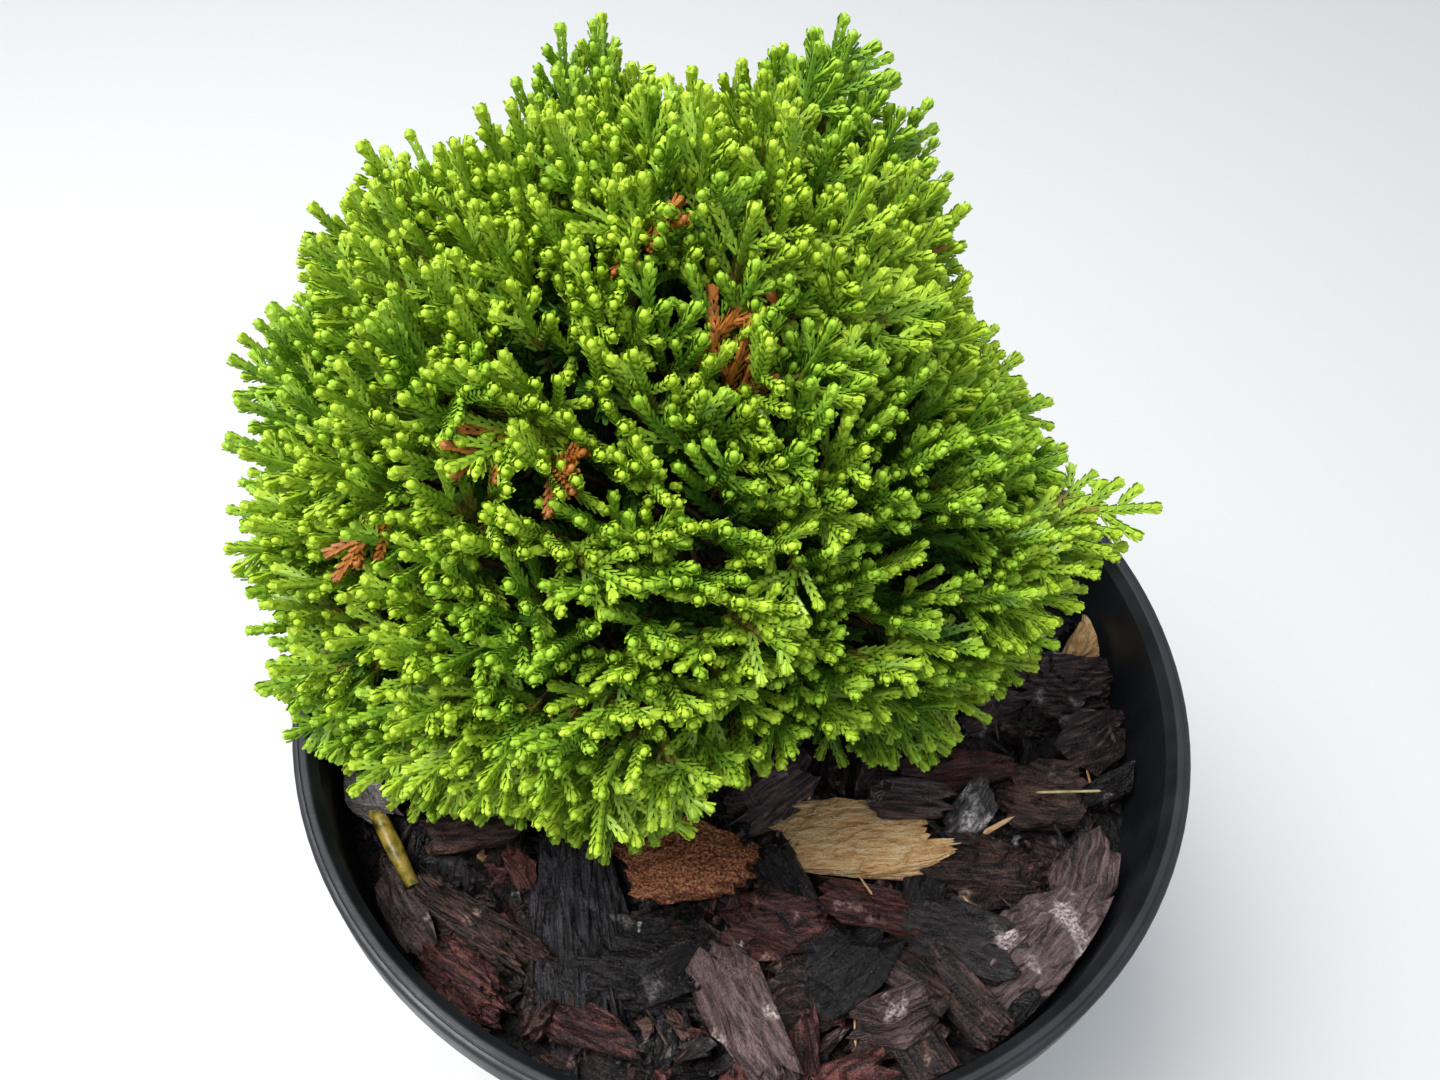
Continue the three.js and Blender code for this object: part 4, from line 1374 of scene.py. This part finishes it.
# The finish of the rings from the tip inwards.
KINDS_BRIGHT = ["tip_bright", "young_bright"] + ["green"] * 5 + ["olive"]
KINDS_SOFT = ["tip_soft", "young_soft"] + ["green_deep"] * 6 + ["olive"]
KINDS_INNER = ["inner"]
KINDS_DEAD = ["dead"]
# Heading and lift of the few sprays that have died and turned brown.
DEAD_SPRAYS = [(270, 72), (238, 57), (232, 60), (315, 70), (277, 67), (214, 79), (216, 41), (110, 40),
               (20, 60)]
DEAD_DEPTH = 1.01
DEAD_LENGTH = 0.7


def spray_count(mass, depth, area):
    """How many sprays of such an area fill the mass's share of the crown at such a depth."""
    cone = 2 * math.pi * (1 - math.cos(SPREAD)) * mass.reach ** 2
    return round(cone * depth ** 2 / area)

# %% Grow all sprays
dice = random.Random(7)
for mass in masses:
    for depth, area in [OUTER_LAYER] + INNER_LAYERS:
        count = spray_count(mass, depth, area)
        for k in range(count):
            spray = Spray(mass, k, count, depth)
            if not has_room(mass, spray.tip, 1):
                continue
            if depth < 1:
                grow_spray(spray, KINDS_INNER, dice)
                continue
            kinds = KINDS_BRIGHT if spray.tone > 0.5 else KINDS_SOFT
            grow_spray(spray, kinds, dice)
            if chance(mass.row + 17, k) < ARCHED:
                spray.arch(spray.way, k * GOLDEN_ANGLE, spray.tip.length, chance(mass.row + 23, k))
                grow_spray(spray, kinds, dice)
for number, (heading, lift) in enumerate(DEAD_SPRAYS):
    way = direction(heading, lift)
    mass = max(masses, key=lambda m: m.axis.dot(way))
    spray = Spray(mass, number, len(DEAD_SPRAYS), DEAD_DEPTH)
    spray.arch(way, number * GOLDEN_ANGLE, crown_reach(way) * DEAD_DEPTH, 0.5)
    spray.length *= DEAD_LENGTH
    grow_spray(spray, KINDS_DEAD, dice)
for mass in masses:
    for depth, area in HEART_LAYERS:
        count = spray_count(mass, depth, area)
        for k in range(count):
            spray = Spray(mass, k + 0.5, count + 1, depth)
            if has_room(mass, spray.tip, 1):
                grow_spray(spray, KINDS_INNER, dice)
print("sprays:", len(twigs), "rings:", sum(map(len, rings.values())), "buds:", sum(map(len, buds.values())))


# %% [markdown]
# ## Scale leaves and tips
# The leaves are tiny blunt scales that clasp the shoot in rings of four: two keeled ones at the
# sides and two flatter ones on the faces. Three scales and one tip are modelled by hand, from grids
# and a ball. The finer scales form the ring below a tip, which is seen best, and the plain one forms
# all the others. Arrays then repeat them, because a hundred thousand objects would stall Blender.

# %% One scale leaf
SCALE_LENGTH = 1.95
SCALE_TIP = 0.45
NARROW_ROOT = 0.8
HAIRLINE = 0.01


def on_end(length, value):
    """Whether a place is on the last tenth of a length."""
    return value > 0.4 * length


def model_scale(rows, width, keel, flare):
    """A keeled scale in millimetres: across along X, its tip towards +Y and its back towards +Z."""
    start_clean()
    bpy.ops.mesh.primitive_grid_add(x_subdivisions=2, y_subdivisions=rows, size=1)
    scale = bpy.context.object
    bpy.ops.object.mode_set(mode="EDIT")
    bpy.ops.mesh.select_mode(type="VERT")
    bpy.ops.mesh.select_all(action="SELECT")
    bpy.ops.transform.resize(value=(width, SCALE_LENGTH, 1), center_override=(0, 0, 0))
    pick_vertices(lambda co: on_end(SCALE_LENGTH, -co.y))
    bpy.ops.transform.resize(value=(NARROW_ROOT, 1, 1), center_override=(0, 0, 0))
    pick_vertices(lambda co: abs(co.x) < HAIRLINE)
    bpy.ops.transform.translate(value=(0, 0, keel))
    pick_vertices(lambda co: abs(co.y) < HAIRLINE)
    bpy.ops.transform.translate(value=(0, 0.12 * SCALE_LENGTH, flare))
    pick_vertices(lambda co: on_end(SCALE_LENGTH, co.y))
    bpy.ops.transform.resize(value=(SCALE_TIP, 1, 1), center_override=(0, 0, 0))
    bpy.ops.transform.translate(value=(0, 0, flare * 0.85))
    bpy.ops.object.mode_set(mode="OBJECT")
    return shape_of(scale)

# %% Kinds of scales
side_scale = model_scale(2, 1.45, 0.3, 0.52)
face_scale = model_scale(1, 1.2, 0.24, 0.62)
plain_scale = model_scale(1, 1.4, 0.3, 0.66)

# %% A ring of four scales
SIDE_OUT = 0.33
FACE_OUT = 0.25
SCALE_AHEAD = 0.6


def turned_scale(shape, outwards, out):
    """Sets a scale on the shoot: side, face and heading are X, Y and Z."""
    along = np.array([0, 0, 1.0])
    outwards = np.array(outwards, float)
    places, corners = shape
    places = places @ np.array([np.cross(along, outwards), along, outwards])
    return places + outwards * out + along * SCALE_AHEAD, corners


def ring_of(side_shape, face_shape):
    sides = [turned_scale(side_shape, (way, 0, 0), SIDE_OUT) for way in (1, -1)]
    faces = [turned_scale(face_shape, (0, way, 0), FACE_OUT) for way in (1, -1)]
    return join_shapes(sides + faces)


fine_ring = ring_of(side_scale, face_scale)
plain_ring = ring_of(plain_scale, plain_scale)
print("a ring has", len(fine_ring[1]), "triangles, and a plain one", len(plain_ring[1]))


# %% One tip
TIP_SIZE = (1.6, 1.4, 2.3)


def model_tip():
    """The blunt end of a shoot: a ball drawn out and flattened, open below where the scales clasp it."""
    start_clean()
    bpy.ops.mesh.primitive_uv_sphere_add(segments=5, ring_count=4, radius=0.5)
    tip = bpy.context.object
    bpy.ops.object.mode_set(mode="EDIT")
    bpy.ops.mesh.select_mode(type="VERT")
    bpy.ops.mesh.select_all(action="SELECT")
    bpy.ops.transform.resize(value=TIP_SIZE, center_override=(0, 0, 0))
    pick_vertices(lambda co: co.z < -0.45 * TIP_SIZE[2])
    bpy.ops.mesh.delete(type="VERT")
    bpy.ops.object.mode_set(mode="OBJECT")
    return shape_of(tip)


tip_shape = model_tip()


# %% Repeating a shape
def repeat(shape, rows):
    """A copy of the shape for each row of place, side, face, heading and size, as one joined shape."""
    places, corners = shape
    rows = np.array(rows)
    frames = rows[:, 3:12].reshape(-1, 3, 3)
    spots = np.einsum("vc,nck->nvk", places, frames) * rows[:, 12][:, None, None] + rows[:, None, :3]
    counts = np.arange(len(rows)) * len(places)
    return spots.reshape(-1, 3), (corners[None] + counts[:, None, None]).reshape(-1, 3)


# %% Foliage finishes
# The name, a colour and the lighter one it wanders to, and the limits of the roughness.
LEAVES = {
    "tip_bright": ("bright tips", (164, 194, 38), (180, 208, 54), 0.5, 0.75),
    "tip_soft": ("soft tips", (144, 182, 36), (162, 198, 50), 0.5, 0.75),
    "young_bright": ("bright young scales", (156, 190, 48), (172, 202, 62), 0.24, 0.5),
    "young_soft": ("soft young scales", (140, 180, 42), (158, 194, 54), 0.24, 0.5),
    "green": ("green scales", (130, 166, 42), (154, 186, 56), 0.28, 0.6),
    "green_deep": ("deep green scales", (101, 142, 34), (123, 164, 47), 0.28, 0.6),
    "olive": ("olive scales", (120, 126, 44), (150, 134, 58), 0.3, 0.6),
    "inner": ("shaded scales", (66, 112, 22), (88, 132, 32), 0.6, 0.9),
    "dead": ("dead scales", (136, 78, 26), (188, 116, 42), 0.4, 0.7),
}


def foliage_finish(name, colour, lighter, smooth, rough):
    """Wet scale leaves: a plain colour that wanders a little, glossy with fine dull spots."""
    material, shader = new_finish(name, paint(*colour), 0.4)
    toned(material, shader, pattern(material, 260, detail=3), [(0.35, colour), (0.7, lighter)])
    gloss(material, shader, pattern(material, 700, detail=2), smooth, rough)
    relief(material, shader, pattern(material, 1600, detail=3), 0.0003, 0.5)
    return material


foliage_finishes = {kind: foliage_finish(*row) for kind, row in LEAVES.items()}

# %% Foliage pieces
MOST_TRIANGLES = 190000


def add_pieces(prefix, store, shape_for):
    """Joins the copies kind by kind into pieces that stay under the most triangles. Returns the sum."""
    total = 0
    for kind in sorted({kind for kind, _ in store}):
        shape = shape_for(kind)
        room = MOST_TRIANGLES // len(shape[1])
        batch, nodes, number = [], [], 1
        groups = [(mass, store[(kind, mass.row)]) for mass in masses if (kind, mass.row) in store]
        for index, (mass, rows) in enumerate(groups):
            batch += rows
            nodes.append(f"foliage_{mass.name}")
            following = len(groups[index + 1][1]) if index + 1 < len(groups) else room
            if len(batch) + following > room:
                places, corners = repeat(shape, batch)
                places = (places + np.array(HEART)) * MM
                piece = piece_of(f"{prefix}_{kind}_{number}", places, corners, smooth=prefix == "tips")
                finish_piece(piece, foliage_finishes[kind], "foliage", *nodes)
                total += len(corners)
                batch, nodes, number = [], [], number + 1
    return total


triangles = add_pieces("scales", rings, lambda kind: fine_ring if kind.startswith("tip") else plain_ring)
triangles += add_pieces("tips", buds, lambda kind: tip_shape)
print("foliage triangles:", triangles)

# %% [markdown]
# ## Twigs
# A brown stem carries on from the end of each bough. From it a twig leads into every spray and thins
# as it goes, and the lower half of the axis of each spray is woody too.

# %% Woody twigs
TWIG_SIDES = 4
STEM_END = 0.6
STEM_RADII = [1.4, 1.3, 1.2, 1.1, 0.9]
STEM_RELIEF = 0.08
TWIG_ROOT = (0.42, 0.58)
TWIG_LEAVE, TWIG_ARRIVE = 0.3, 0.45
TWIG_STEPS = 5
TWIG_RADII = (0.75, 0.4)
TWIG_RELIEF = 0.06
WOODY_SHARE = 0.5

# %% Stems and twigs
shapes = []
for mass in masses:
    start, end = [mass.axis * (mass.reach * share) for share in (BOUGH["end"], STEM_END)]
    centres = [start.lerp(end, share) for share in even_shares(len(STEM_RADII) - 1)]
    shapes.append(limb_shape(centres, STEM_RADII, TWIG_SIDES, STEM_RELIEF))
for index, (spray, path) in enumerate(twigs):
    source = spray.mass.axis * (spray.mass.reach * between(*TWIG_ROOT, chance(index, 3)))
    gap = (spray.start - source).length
    leave = source + spray.mass.axis * (gap * TWIG_LEAVE)
    arrive = spray.start - spray.heading * (gap * TWIG_ARRIVE)
    centres = [bezier([source, leave, arrive, spray.start], share) for share in even_shares(TWIG_STEPS)[:-1]]
    centres += path[:max(2, int(len(path) * WOODY_SHARE))]
    radii = [between(*TWIG_RADII, share) for share in even_shares(len(centres) - 1)]
    shapes.append(limb_shape(centres, radii, TWIG_SIDES, TWIG_RELIEF))
places, corners = join_shapes(shapes)

# %% Twig finish
twig_piece = piece_of("twigs", (places + np.array(HEART)) * MM, corners)
# The olive-brown is kept dark so that twigs seen between the sprays read as in shade: painted shade over
# their own colour.
twig_finish, twig_shader = new_finish("olive twigs and painted shade", paint(70, 60, 30), 0.7)
streaks = pattern(twig_finish, 500, detail=5)
toned(twig_finish, twig_shader, streaks, [(0.35, (48, 36, 20)), (0.55, (78, 64, 30)), (0.7, (64, 78, 26))])
relief(twig_finish, twig_shader, streaks, 0.0004, 0.6)
finish_piece(twig_piece, twig_finish, "limb_bark", *[f"foliage_{mass.name}" for mass in masses])

# %% [markdown]
# ## Sizes
# Both boxes, of the plain solids and of the dressed plant, are printed. The dressed plant has to
# keep to the box of the plain solids, but for a small allowance.

# %% Write the sizes and finish
dressed_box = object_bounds()
for low, high in (solid_box, dressed_box):
    print([round(v / MM, 1) for v in low], [round(v / MM, 1) for v in high])
